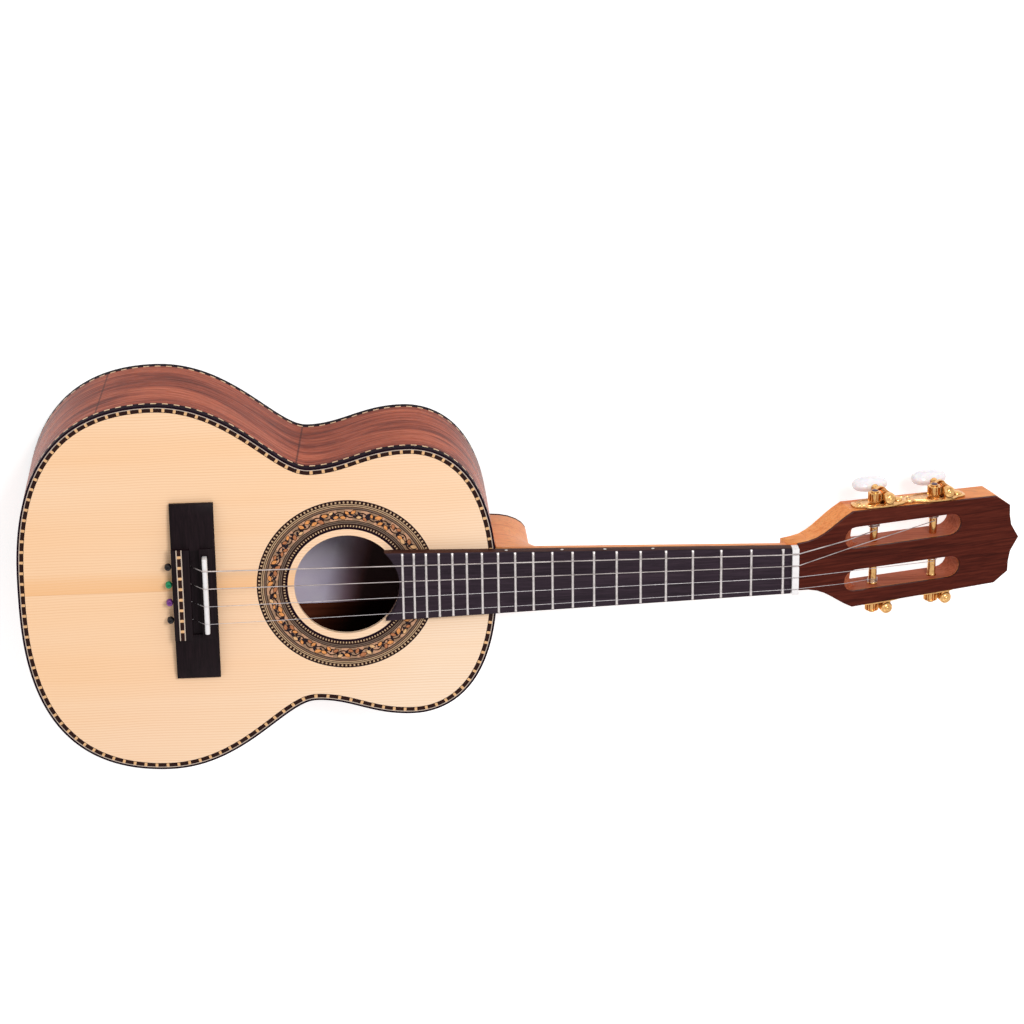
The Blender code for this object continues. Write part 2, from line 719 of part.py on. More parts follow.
def make_braces():
    under = BODY_DEPTH - TOP_THICKNESS - GAP
    inside = BACK_THICKNESS + GAP
    top_braces = (("upper_top_brace", UPPER_TOP_BRACE_X), ("lower_top_brace", LOWER_TOP_BRACE_X))
    for name, x in top_braces:
        cross_brace(name, x, TOP_BRACE_WIDTH, TOP_BRACE_HEIGHT, under, -1)
    back_braces = (
        ("upper_back_brace", UPPER_BACK_BRACE_X),
        ("middle_back_brace", MIDDLE_BACK_BRACE_X),
        ("lower_back_brace", LOWER_BACK_BRACE_X),
    )
    for name, x in back_braces:
        cross_brace(name, x, BACK_BRACE_WIDTH, BACK_BRACE_HEIGHT, inside, 1)

    plate_low = (BRIDGE_MIDDLE_X - BRIDGE_PLATE_LENGTH / 2, -BRIDGE_PLATE_WIDTH / 2, under - BRIDGE_PLATE_THICKNESS)
    plate_high = (BRIDGE_MIDDLE_X + BRIDGE_PLATE_LENGTH / 2, BRIDGE_PLATE_WIDTH / 2, under)
    box("bridge_plate", plate_low, plate_high, PALE_WOOD)

    fan_front = LOWER_TOP_BRACE_X - TOP_BRACE_WIDTH / 2 - BRACE_END_GAP
    tail_face = TAIL_X + SIDE_THICKNESS + GAP + TAIL_BLOCK_LENGTH
    fan_length = fan_front - tail_face - FAN_BRACE_FROM_TAIL_BLOCK
    for name, place in (("fan_brace_bass", 1), ("fan_brace_centre", 0), ("fan_brace_treble", -1)):
        angle = math.pi - place * FAN_BRACE_SPREAD
        reach = fan_length / 2
        lean = FAN_BRACE_WIDTH / 2 * abs(math.sin(angle))
        centre = (
            fan_front - lean + reach * math.cos(angle),
            place * FAN_BRACE_SPACING + reach * math.sin(angle),
        )
        bar = brace(name, centre, angle, fan_length, FAN_BRACE_WIDTH, FAN_BRACE_HEIGHT, under, -1)
        notch = box(
            name + "_notch",
            (plate_low[0] - GAP, -BRIDGE_PLATE_WIDTH, plate_low[2] - GAP),
            (plate_high[0] + GAP, BRIDGE_PLATE_WIDTH, BODY_DEPTH),
        )
        cut(bar, notch)
        apply_modifiers(bar)


# Neck plane, fingerboard and frets


def neck_top(x):
    return BODY_DEPTH + (JOINT_X - x) * BOARD_SLOPE


def board_top(x):
    return neck_top(x) + BOARD_THICKNESS


def board_bottom(x):
    return max(BODY_DEPTH, neck_top(x)) + GAP if x < JOINT_X else neck_top(x) + GAP


def board_half_width(x):
    share = (SCALE_LENGTH - x) / (SCALE_LENGTH - LAST_FRET_X)
    return (BOARD_WIDTH_AT_NUT + (BOARD_WIDTH_AT_LAST_FRET - BOARD_WIDTH_AT_NUT) * share) / 2


def bent_slab(name, outline, bend_x, bottom_of, top_of, surface):
    """A plate whose faces follow two heights along X, with an edge across it where they bend."""
    mesh = prism_mesh(name, [outline], 0, 1)
    form = bmesh.new()
    form.from_mesh(mesh)
    bmesh.ops.bisect_plane(
        form,
        geom=[*form.verts, *form.edges, *form.faces],
        dist=1e-7,
        plane_co=(bend_x, 0, 0),
        plane_no=(1, 0, 0),
    )
    for corner in form.verts:
        height = top_of if corner.co.z > 0.5 else bottom_of
        corner.co.z = height(corner.co.x)
    form.to_mesh(mesh)
    form.free()
    return smooth(add_object(name, mesh, surface))


def fret_x(number):
    return SCALE_LENGTH * 2 ** (-number / 12)


def make_fingerboard():
    end_radius = SOUND_HOLE_RADIUS + SLOT_CLEARANCE
    corner_x = SOUND_HOLE_X + end_radius * 0.74
    corner_y = board_half_width(corner_x)
    sweep = math.asin(min(0.95, corner_y / end_radius))
    scoop = []
    for i in range(9):
        angle = sweep - 2 * sweep * i / 8
        scoop.append((SOUND_HOLE_X + end_radius * math.cos(angle), end_radius * math.sin(angle)))
    board_end = NUT_X - GAP
    nut_corners = [(board_end, -board_half_width(board_end)), (board_end, board_half_width(board_end))]
    board = bent_slab("fingerboard", [*scoop, *nut_corners], JOINT_X, board_bottom, board_top, EBONY)
    for number in range(1, FRET_COUNT + 1):
        x = fret_x(number)
        reach = board_half_width(x) - FRET_INSET
        height = board_top(x)
        join(board, rod(f"fret_{number:02d}", FRET_RADIUS, (x, -reach, height), (x, reach, height), sides=8))
    tang_slot = box(
        "zero_fret_slot",
        (SCALE_LENGTH - FRET_TANG / 2 - GAP, -BOARD_WIDTH_AT_NUT, board_top(SCALE_LENGTH) - FRET_TANG_DEPTH - GAP),
        (SCALE_LENGTH + FRET_TANG / 2 + GAP, BOARD_WIDTH_AT_NUT, board_top(SCALE_LENGTH) + FRET_TANG_DEPTH),
    )
    cut(board, tang_slot)
    apply_modifiers(board)


def make_zero_fret():
    """Crown and tang in one bar: its section is drawn in the XZ plane and runs across the board."""
    crown = []
    for i in range(7):
        angle = math.pi * i / 6
        crown.append((ZERO_FRET_WIDTH / 2 * math.cos(angle), GAP + (ZERO_FRET_HEIGHT - GAP) * math.sin(angle)))
    tang = [(-FRET_TANG / 2, GAP), (-FRET_TANG / 2, -FRET_TANG_DEPTH)]
    section = [*crown, *tang, (FRET_TANG / 2, -FRET_TANG_DEPTH), (FRET_TANG / 2, GAP)]
    reach = BOARD_WIDTH_AT_NUT / 2 - FRET_INSET
    mesh = prism_mesh("zero_fret", [section], -reach, reach)
    mesh.transform(
        Matrix.Translation((SCALE_LENGTH, 0, board_top(SCALE_LENGTH))) @ Matrix.Rotation(math.pi / 2, 4, "X")
    )
    smooth(add_object("zero_fret", mesh, STEEL))


def string_y(place, spacing):
    """Where a string lies across the neck. place counts the strings from the bass side."""
    return (1.5 - place) * spacing


def string_over_zero_fret(radius):
    return board_top(SCALE_LENGTH) + ZERO_FRET_HEIGHT + GAP + radius


def string_in_nut(radius):
    return string_over_zero_fret(radius) - 2 * FRET_INSET


def make_nut():
    half = board_half_width(NUT_X)
    height = board_top(NUT_X) + NUT_ABOVE_BOARD
    nut = box(
        "nut",
        (NUT_X, -half, neck_top(NUT_X) + GAP),
        (NUT_X + NUT_LENGTH, half, height),
        BONE,
    )
    for place, radius in enumerate(STRING_RADII):
        y = string_y(place, STRING_SPACING_AT_NUT)
        wide = radius + GAP
        notch = box(
            f"nut_notch_{place}",
            (NUT_X - NUT_LENGTH, y - wide, string_in_nut(radius) - radius - GAP),
            (NUT_X + 2 * NUT_LENGTH, y + wide, height + NUT_LENGTH),
        )
        cut(nut, notch)
    apply_modifiers(nut)


# Head frame: X along the head, Y across it, Z out of its face

HEAD_ORIGIN = Vector((NECK_END_X + HEAD_START, 0, neck_top(NECK_END_X) + HEAD_FACE_ABOVE_NECK))
HEAD_MATRIX = Matrix.Translation(HEAD_ORIGIN) @ Matrix.Rotation(HEAD_ANGLE, 4, "Y")
head_frame = empty("head_frame", HEAD_ORIGIN, (0, HEAD_ANGLE, 0))


def head_half():
    """The bass half of the head's outline, from the nut to the tip."""
    corner = (HEAD_CORNER_X, HEAD_HALF_WIDTH_AT_CORNER)
    points = bezier(
        (0, HEAD_HALF_WIDTH_AT_NUT),
        (HEAD_SHOULDER_START, HEAD_HALF_WIDTH_AT_NUT),
        (HEAD_SHOULDER_END, HEAD_SHOULDER_WIDTH),
        corner,
        7,
    )
    crest = [
        corner,
        (HEAD_FAR_CORNER_X, HEAD_HALF_WIDTH_AT_FAR_CORNER),
        (CREST_X, CREST_HALF_WIDTH),
        (CREST_HOLLOW_X, CREST_HOLLOW_HALF_WIDTH),
        (CREST_NOTCH_X, CREST_NOTCH_HALF_WIDTH),
        (TIP_X, 0),
    ]
    return points + crest


def head_outline(start):
    half = [(max(x, start), y) for x, y in head_half()]
    half[0] = (start, HEAD_HALF_WIDTH_AT_NUT)
    return half + [(x, -y) for x, y in reversed(half[:-1])]


def slot_outline(near, side, widen=0.0):
    """A long hole with round ends."""
    radius = SLOT_WIDTH / 2 + widen
    points = []
    for i in range(9):
        angle = math.pi / 2 + math.pi * i / 8
        points.append((near + SLOT_WIDTH / 2 + radius * math.cos(angle), radius * math.sin(angle)))
    for i in range(9):
        angle = -math.pi / 2 + math.pi * i / 8
        points.append((SLOT_FAR_X - SLOT_WIDTH / 2 + radius * math.cos(angle), radius * math.sin(angle)))
    return [(x, side * SLOT_CENTRE_Y + y) for x, y in points]


def head_side_y(x):
    """How far the head's side lies from its middle line."""
    share = (x - HEAD_CORNER_X) / (HEAD_FAR_CORNER_X - HEAD_CORNER_X)
    return HEAD_HALF_WIDTH_AT_CORNER + share * (HEAD_HALF_WIDTH_AT_FAR_CORNER - HEAD_HALF_WIDTH_AT_CORNER)


HEAD_TAPER = math.atan2(
    HEAD_HALF_WIDTH_AT_CORNER - HEAD_HALF_WIDTH_AT_FAR_CORNER, HEAD_FAR_CORNER_X - HEAD_CORNER_X
)


def make_head_wood():
    """The head of the neck: its outline from the front, trimmed to its side view, with slots and ramps."""
    start = -3 * NUT_LENGTH / 2
    wood_top = -HEADPLATE_THICKNESS - GAP
    head = prism("head_wood", [head_outline(start)], -2 * HEAD_BACK, wood_top, CEDAR, head_frame)
    blend = []
    for i in range(6):
        share = i / 5
        rise = (1 - math.cos(math.pi * share)) / 2
        depth = HEAD_THICKNESS_AT_NUT + (HEAD_THICKNESS - HEAD_THICKNESS_AT_NUT) * rise
        blend.append((start + (HEAD_BLEND_LENGTH - start) * share, wood_top - depth))
    side_view = [*blend, (2 * TIP_X, -HEAD_BACK), (2 * TIP_X, -3 * HEAD_BACK), (2 * start, -3 * HEAD_BACK)]
    side_view.append((2 * start, blend[0][1]))
    below = prism_mesh("head_underside", [side_view], -TIP_X, TIP_X)
    below.transform(Matrix.Rotation(math.pi / 2, 4, "X"))
    cut(head, add_object("head_underside", below, None, head_frame))
    for side in (1, -1):
        name = "bass" if side > 0 else "treble"
        through = slot_outline(SLOT_NEAR_X + RAMP_LENGTH, side)
        cut(head, prism("head_slot_" + name, [through], -2 * HEAD_BACK, HEAD_BACK, None, head_frame))
        ramp = prism_mesh("ramp", [slot_outline(SLOT_NEAR_X, side)], 0, SLOT_WIDTH)
        pivot = Matrix.Translation((SLOT_NEAR_X, 0, wood_top))
        shorten = Matrix.Diagonal((0.35, 1, 1, 1))
        ramp.transform(
            pivot @ Matrix.Rotation(RAMP_ANGLE, 4, "Y") @ shorten @ Matrix.Translation((-SLOT_NEAR_X, 0, 0))
        )
        cut(head, add_object("ramp_" + name, ramp, None, head_frame))
        for post in range(2):
            x = NEAR_POST_X + post * POST_SPACING
            outside = side * 2 * HEAD_HALF_WIDTH_AT_CORNER
            blind = side * (SLOT_INNER_Y - POST_TIP_LENGTH - GAP)
            wall = rod(
                f"wall_bore_{name}_{post}",
                POST_BEARING_RADIUS + GAP,
                (x, side * SLOT_CENTRE_Y, -POST_DEPTH),
                (x, outside, -POST_DEPTH),
                head_frame,
            )
            web = rod(
                f"web_bore_{name}_{post}",
                POST_TIP_RADIUS + GAP,
                (x, blind, -POST_DEPTH),
                (x, side * SLOT_CENTRE_Y, -POST_DEPTH),
                head_frame,
            )
            cut(head, wall, web)
    return head


def make_headplate():
    slots = [slot_outline(SLOT_NEAR_X, side) for side in (1, -1)]
    prism("headplate", [head_outline(0), *slots], -HEADPLATE_THICKNESS, 0, ROSEWOOD, head_frame)


# Neck: shaft, heel, tenon and head in one piece


def d_section(x, half_width, depth):
    """A neck section: flat on top, half an ellipse below."""
    top = neck_top(x)
    ring = []
    for i in range(13):
        angle = math.pi * i / 12
        ring.append((x, half_width * math.cos(angle), top - depth * math.sin(angle) ** 0.85))
    return ring


def make_neck():
    start = JOINT_X - 2 * SIDE_THICKNESS
    rings = [
        d_section(start, board_half_width(start), NECK_DEPTH_AT_HEEL),
        d_section(NECK_END_X, board_half_width(NECK_END_X), NECK_DEPTH_AT_NUT),
    ]
    neck = loft("neck", rings, CEDAR)

    heel_rings = []
    heel_bottom = HEEL_CAP_THICKNESS + GAP
    heel_top = neck_top(JOINT_X) - 2 * GAP
    top_half = board_half_width(JOINT_X)
    for i in range(11):
        share = i / 10
        z = heel_bottom + (heel_top - heel_bottom) * share
        half = HEEL_HALF_WIDTH + (top_half - GAP - HEEL_HALF_WIDTH) * share**0.8
        length = HEEL_LENGTH + HEEL_LENGTH * 1.6 * max(0, share - 0.45) ** 2 / 0.3
        ring = []
        for k in range(13):
            angle = math.pi * k / 12
            ring.append((JOINT_X + length * math.sin(angle), half * math.cos(angle), z))
        back = JOINT_X - 2 * SIDE_THICKNESS
        heel_rings.append([(back, half, z), *ring, (back, -half, z)])
    heel = loft("heel", heel_rings, CEDAR)
    join(neck, heel)
    body = [body_inset(-GAP)]
    plate_seat = box(
        "headplate_seat",
        (-GAP, -HEAD_CORNER_X, -HEADPLATE_THICKNESS - GAP),
        (2 * NUT_LENGTH, HEAD_CORNER_X, HEAD_BACK),
        None,
        head_frame,
    )
    cut(neck, prism("body_room", body, -BODY_DEPTH, 2 * BODY_DEPTH, None), plate_seat)
    tenon = box(
        "tenon",
        (JOINT_X - TENON_LENGTH, -TENON_WIDTH / 2, TENON_BOTTOM),
        (JOINT_X + TENON_LENGTH, TENON_WIDTH / 2, TENON_TOP),
    )
    join(neck, tenon, make_head_wood())
    nut_seat = box(
        "nut_seat",
        (SCALE_LENGTH, -HEAD_CORNER_X, neck_top(NUT_X + NUT_LENGTH)),
        (NECK_END_X, HEAD_CORNER_X, 2 * BODY_DEPTH),
    )
    cut(neck, nut_seat)
    apply_modifiers(neck)

    cap = []
    for k in range(13):
        angle = math.pi * k / 12
        cap.append((JOINT_X + HEEL_LENGTH * math.sin(angle), HEEL_HALF_WIDTH * math.cos(angle)))
    prism("heel_cap", [cap], 0, HEEL_CAP_THICKNESS, EBONY)


# Bridge


def make_bridge():
    base = BODY_DEPTH + GAP
    tie_front = BRIDGE_BACK_X + TIE_BLOCK_LENGTH
    ridge_back = tie_front + CHANNEL_LENGTH
    section = [
        (BRIDGE_BACK_X, base),
        (BRIDGE_FRONT_X, base),
        (BRIDGE_FRONT_X, BODY_DEPTH + SADDLE_RIDGE_FRONT_HEIGHT),
        (SADDLE_X + SADDLE_THICKNESS, BODY_DEPTH + SADDLE_RIDGE_HEIGHT),
        (ridge_back, BODY_DEPTH + SADDLE_RIDGE_HEIGHT),
        (ridge_back, BODY_DEPTH + CHANNEL_FLOOR),
        (tie_front, BODY_DEPTH + CHANNEL_FLOOR),
        (tie_front, BODY_DEPTH + TIE_BLOCK_HEIGHT),
        (BRIDGE_BACK_X + GAP, BODY_DEPTH + TIE_BLOCK_HEIGHT),
        (BRIDGE_BACK_X, BODY_DEPTH + TIE_BLOCK_HEIGHT - GAP),
    ]
    upright = Matrix.Rotation(math.pi / 2, 4, "X")
    centre = prism_mesh("bridge", [section], -TIE_BLOCK_WIDTH / 2, TIE_BLOCK_WIDTH / 2)
    centre.transform(upright)
    bridge = add_object("bridge", centre, EBONY)

    wing_start = TIE_BLOCK_WIDTH / 2 - SIDE_THICKNESS
    wing_end = BRIDGE_WIDTH / 2
    slope = []
    for i in range(5):
        share = i / 4
        y = wing_start + (wing_end - wing_start) * share
        fall = (BRIDGE_WING_HEIGHT - BRIDGE_WING_END_HEIGHT) * share**3
        slope.append((y, BODY_DEPTH + BRIDGE_WING_HEIGHT - fall))
    for side in (1, -1):
        outline = [(wing_start, base), *slope, (wing_end, base)]
        wing = prism_mesh("wing", [outline], BRIDGE_BACK_X, BRIDGE_FRONT_X)
        turn = Matrix(((0, 0, 1, 0), (side, 0, 0, 0), (0, 1, 0, 0), (0, 0, 0, 1)))
        wing.transform(turn)
        if side < 0:
            wing.flip_normals()
        join(bridge, add_object(f"wing_{side}", wing, None))

    saddle_slot = box(
        "saddle_slot",
        (
            SADDLE_X - SADDLE_THICKNESS / 2 - GAP,
            -SADDLE_LENGTH / 2 - GAP,
            BODY_DEPTH + SADDLE_SLOT_FLOOR - GAP,
        ),
        (SADDLE_X + SADDLE_THICKNESS / 2 + GAP, SADDLE_LENGTH / 2 + GAP, 2 * BODY_DEPTH),
    )
    inlay_back = BRIDGE_BACK_X + INLAY_FROM_BACK
    inlay_floor = BODY_DEPTH + TIE_BLOCK_HEIGHT - INLAY_DEPTH
    inlay_slot = box(
        "inlay_slot",
        (inlay_back - GAP, -TIE_BLOCK_WIDTH, inlay_floor),
        (inlay_back + INLAY_WIDTH + GAP, TIE_BLOCK_WIDTH, 2 * BODY_DEPTH),
    )
    cut(bridge, saddle_slot, inlay_slot)
    for place in range(len(STRING_RADII)):
        y = string_y(place, STRING_SPACING_AT_SADDLE)
        z = BODY_DEPTH + STRING_HOLE_HEIGHT
        ends = ((2 * BRIDGE_BACK_X, y, z), (ridge_back - GAP, y, z))
        cut(bridge, rod(f"string_hole_{place}", STRING_HOLE_RADIUS, *ends, sides=8))
    apply_modifiers(bridge)

    box(
        "bridge_inlay",
        (inlay_back, -TIE_BLOCK_WIDTH / 2, inlay_floor + GAP),
        (inlay_back + INLAY_WIDTH, TIE_BLOCK_WIDTH / 2, BODY_DEPTH + TIE_BLOCK_HEIGHT),
        PALE_WOOD,
    )


def make_saddle():
    half = SADDLE_THICKNESS / 2
    crown_z = SADDLE_HEIGHT - half
    section = [(-half, SADDLE_SLOT_FLOOR), (half, SADDLE_SLOT_FLOOR)]
    for i in range(7):
        angle = math.pi * i / 6
        section.append((half * math.cos(angle), crown_z + half * math.sin(angle)))
    mesh = prism_mesh("saddle", [section], -SADDLE_LENGTH / 2, SADDLE_LENGTH / 2)
    mesh.transform(Matrix.Translation((SADDLE_X, 0, BODY_DEPTH)) @ Matrix.Rotation(math.pi / 2, 4, "X"))
    smooth(add_object("saddle", mesh, BONE))


# Tuners


def post_place(place):
    """Side, distance along the head and head side there, for the post of a string counted from the bass."""
    side = 1 if place < 2 else -1
    far = place in (1, 2)
    x = NEAR_POST_X + (POST_SPACING if far else 0)
    return side, x, head_side_y(x)


def plate_outer_y(x):
    return head_side_y(x) + GAP / math.cos(HEAD_TAPER) + PLATE_THICKNESS


def gear_outline():
    """Straight-sided teeth, with a gap towards +X, where the worm lies."""
    points = []
    step = 2 * math.pi / GEAR_TEETH
    for i in range(GEAR_TEETH):
        middle = (i + 0.5) * step
        for radius, share in (
            (GEAR_ROOT_RADIUS, -0.27),
            (GEAR_TIP_RADIUS, -0.15),
            (GEAR_TIP_RADIUS, 0.15),
            (GEAR_ROOT_RADIUS, 0.27),
        ):
            angle = middle + share * step
            points.append((radius * math.cos(angle), radius * math.sin(angle)))
    return points


def make_post(number, place):
    side, x, wall_y = post_place(place)
    frame = empty(f"post_axis_{number}", (x, 0, -POST_DEPTH), (-side * math.pi / 2, 0, 0), head_frame)
    gear_in = plate_outer_y(x) + GEAR_STANDOFF
    gear_out = gear_in + GEAR_THICKNESS
    cap_in = gear_out + GAP
    profile = [
        (POST_CAP_RADIUS, cap_in + POST_CAP_THICKNESS),
        (POST_CAP_RADIUS, cap_in),
        (POST_SEAT_RADIUS, cap_in),
        (POST_SEAT_RADIUS, gear_in - GAP),
        (POST_BEARING_RADIUS, gear_in - GAP),
        (POST_BEARING_RADIUS, SLOT_OUTER_Y - GAP),
        (POST_BARREL_RADIUS, SLOT_OUTER_Y - 2 * GAP),
        (POST_BARREL_RADIUS, SLOT_CENTRE_Y),
        (POST_WAIST_RADIUS, SLOT_INNER_Y),
        (POST_TIP_RADIUS, SLOT_INNER_Y),
        (POST_TIP_RADIUS, SLOT_INNER_Y - POST_TIP_LENGTH),
    ]
    post = turned(f"tuning_post_{number}", profile, GOLD, frame, 16)
    reach = 2 * POST_BARREL_RADIUS
    hole_y = SLOT_CENTRE_Y - (0.0012 if place == 2 else -0.0002)
    hole = rod(f"post_hole_{number}", POST_STRING_HOLE_RADIUS, (-reach, 0, hole_y), (reach, 0, hole_y), frame, 8)
    cut(post, hole)
    apply_modifiers(post)
    bore = [
        ((POST_SEAT_RADIUS + GAP) * math.cos(2 * math.pi * i / 16), (POST_SEAT_RADIUS + GAP) * math.sin(2 * math.pi * i / 16))
        for i in range(16)
    ]
    prism(f"gear_{number}", [gear_outline(), bore], gear_in, gear_out, GOLD, frame)


def winding_route(place, radius):
    """A helix about Z that starts beside the string and climbs away from it, with straight ends."""
    pitch = 2 * radius + WINDING_SPACE
    wrap = POST_BARREL_RADIUS + GAP + radius
    turns = WINDING_TURNS
    inner_wall = place == 2
    if inner_wall:
        start = SLOT_INNER_Y + WINDING_WALL_GAP + radius + turns * pitch
        rise = -pitch
    else:
        start = SLOT_OUTER_Y - WINDING_WALL_GAP - radius - turns * pitch
        rise = pitch
    route = []
    for i in range(turns * WINDING_STEPS + 1):
        turn = i / WINDING_STEPS
        angle = 2 * math.pi * turn
        route.append(Vector((wrap * math.cos(angle), wrap * math.sin(angle), start + rise * turn)))
    for end, neighbour in ((0, 1), (-1, -2)):
        way = (route[end] - route[neighbour]).normalized() * 2 * radius
        route.insert(0 if end == 0 else len(route), route[end] + way)
    return route, start


def least_gap(route, radius, apart):
    """The least gap between a tube and itself, between points at least so many steps apart."""
    least = min(
        (first - second).length for i, first in enumerate(route) for second in route[i + apart :]
    )
    return least - 2 * radius


def make_winding(number, place, radius):
    side, x, _ = post_place(place)
    frame = bpy.data.objects[f"post_axis_{number}"]
    route, _ = winding_route(place, radius)
    tube(f"winding_{number}", route, radius, 1, STEEL, frame)
    gap = least_gap(route, radius, WINDING_STEPS // 2)
    print(f"winding_{number}: least gap to itself {gap * 1000:.2f} mm")


def worm_place(place):
    side, x, _ = post_place(place)
    y = plate_outer_y(x) + GEAR_STANDOFF + GEAR_THICKNESS / 2
    return side, x + WORM_DISTANCE, y


def make_worm(number, place):
    """A shaft with a right-handed thread. Its crest faces the gear at the height of the gear's axis."""
    side, x, y = worm_place(place)
    frame = empty(f"button_axis_{number}", (x, side * y, -POST_DEPTH), (0, 0, 0), head_frame)
    half_thread = WORM_TURNS * GEAR_PITCH / 2
    root = half_thread + GEAR_PITCH / 4
    ear_in = GEAR_TIP_RADIUS + EAR_STANDOFF
    front = ear_in + EAR_RIM + EAR_RADIUS + WORM_ENDS
    head_back = -(HEAD_BACK - POST_DEPTH)
    ferrule_low = head_back - BUTTON_BELOW_HEAD + GAP
    ferrule_top = ferrule_low + FERRULE_LENGTH
    tip = ferrule_low - BUTTON_BORE_DEPTH
    profile = [
        (WORM_SHAFT_RADIUS, front),
        (WORM_SHAFT_RADIUS, root),
        (WORM_ROOT_RADIUS, root),
        (WORM_ROOT_RADIUS, -root),
        (WORM_SHAFT_RADIUS, -root),
        (WORM_SHAFT_RADIUS, ferrule_top),
        (FERRULE_RADIUS, ferrule_low),
        (WORM_SHAFT_RADIUS, ferrule_low),
        (WORM_SHAFT_RADIUS, tip),
    ]
    worm = turned(f"worm_{number}", profile, GOLD, frame, 12)
    sections = []
    inside = WORM_ROOT_RADIUS - 0.0004
    count = int(WORM_TURNS * WORM_STEPS)
    for i in range(count + 1):
        turn = (i - count / 2) / WORM_STEPS
        angle = math.pi + 2 * math.pi * turn
        height = turn * GEAR_PITCH
        section = []
        for radius, share in ((inside, -0.24), (WORM_TIP_RADIUS, -0.09), (WORM_TIP_RADIUS, 0.09), (inside, 0.24)):
            section.append((radius * math.cos(angle), radius * math.sin(angle), height + share * GEAR_PITCH))
        sections.append(section)
    join(worm, loft(f"worm_thread_{number}", sections, GOLD, frame))
    apply_modifiers(worm)
    return frame


def make_button(number, frame):
    """An oval pearl button: a ball stretched along the head and squared a little, bored for the shaft."""
    top = -(HEAD_BACK - POST_DEPTH) - BUTTON_BELOW_HEAD
    form = bmesh.new()
    bmesh.ops.create_uvsphere(form, u_segments=14, v_segments=8, radius=1)
    for corner in form.verts:
        x, y, z = corner.co
        fuller = 1 + 0.10 * (x * x * z * z + x * x * y * y) * 4
        corner.co = (
            x * fuller * BUTTON_LENGTH / 2,
            y * BUTTON_THICKNESS / 2,
            z * fuller * BUTTON_HEIGHT / 2,
        )
    bmesh.ops.translate(form, vec=(0, 0, top - BUTTON_HEIGHT / 2), verts=form.verts)
    mesh = bpy.data.meshes.new(f"button_{number}")
    form.to_mesh(mesh)
    form.free()
    button = add_object(f"button_{number}", mesh, PEARL, frame)
    bore = rod(
        f"button_bore_{number}",
        WORM_SHAFT_RADIUS + GAP,
        (0, 0, top - BUTTON_BORE_DEPTH - GAP),
        (0, 0, top + BUTTON_HEIGHT),
        frame,
        12,
    )
    cut(button, bore)
    apply_modifiers(button)


def plate_outline(side):
    """The side plate's outline from outside: lobes at its ends and at each post, narrower between."""
    middle = (PLATE_NEAR_X + PLATE_FAR_X) / 2
    lobe, neck = PLATE_LOBE_HEIGHT / 2, PLATE_NECK_HEIGHT / 2
    stations = (
        (PLATE_NEAR_X, neck * 0.45),
        (PLATE_NEAR_X + 0.0015, neck * 0.85),
        (PLATE_NEAR_X + 0.0050, neck),
        (NEAR_POST_X - 0.0060, lobe * 0.95),
        (NEAR_POST_X + WORM_DISTANCE, lobe),
        (NEAR_POST_X + BOSS_OFFSET + 0.0020, lobe * 0.85),
        (middle, neck),
        (NEAR_POST_X + POST_SPACING - 0.0060, lobe * 0.95),
        (NEAR_POST_X + POST_SPACING + WORM_DISTANCE, lobe),
        (PLATE_FAR_X - 0.0040, neck),
        (PLATE_FAR_X - 0.0012, neck * 0.8),
        (PLATE_FAR_X, neck * 0.45),
    )
    upper = [(x - middle, h) for x, h in stations]
    lower = [(x, -h) for x, h in reversed(upper)]
    return flipped(upper + lower, side)


def ear(label, side, x, y, up):
    """A rounded bearing on the worm's axis: a short rim, then half a ball."""
    start = GEAR_TIP_RADIUS + EAR_STANDOFF
    profile = [(EAR_RADIUS, start), (EAR_RADIUS, start + EAR_RIM)]
    for i in range(1, 5):
        angle = math.pi / 2 * i / 5
        profile.append((EAR_RADIUS * math.cos(angle), start + EAR_RIM + EAR_RADIUS * math.sin(angle)))
    line = [(radius, up * height) for radius, height in profile]
    frame = empty(f"ear_axis_{label}", (x, side * y, -POST_DEPTH), (0, 0, 0), head_frame)
    return turned(f"ear_{label}", line[::-up], GOLD, frame, 12)


def ear_foot(label, side, x, y, up):
    """The block that carries a bearing on the side plate."""
    start = up * (GEAR_TIP_RADIUS + EAR_STANDOFF) - POST_DEPTH
    end = start + up * EAR_FOOT_THICKNESS
    foot = plate_outer_y(x) - PLATE_THICKNESS / 2
    low = (x - EAR_FOOT_WIDTH / 2, min(side * foot, side * y), min(start, end))
    high = (x + EAR_FOOT_WIDTH / 2, max(side * foot, side * y), max(start, end))
    return box(f"ear_foot_{label}", low, high, GOLD, head_frame)


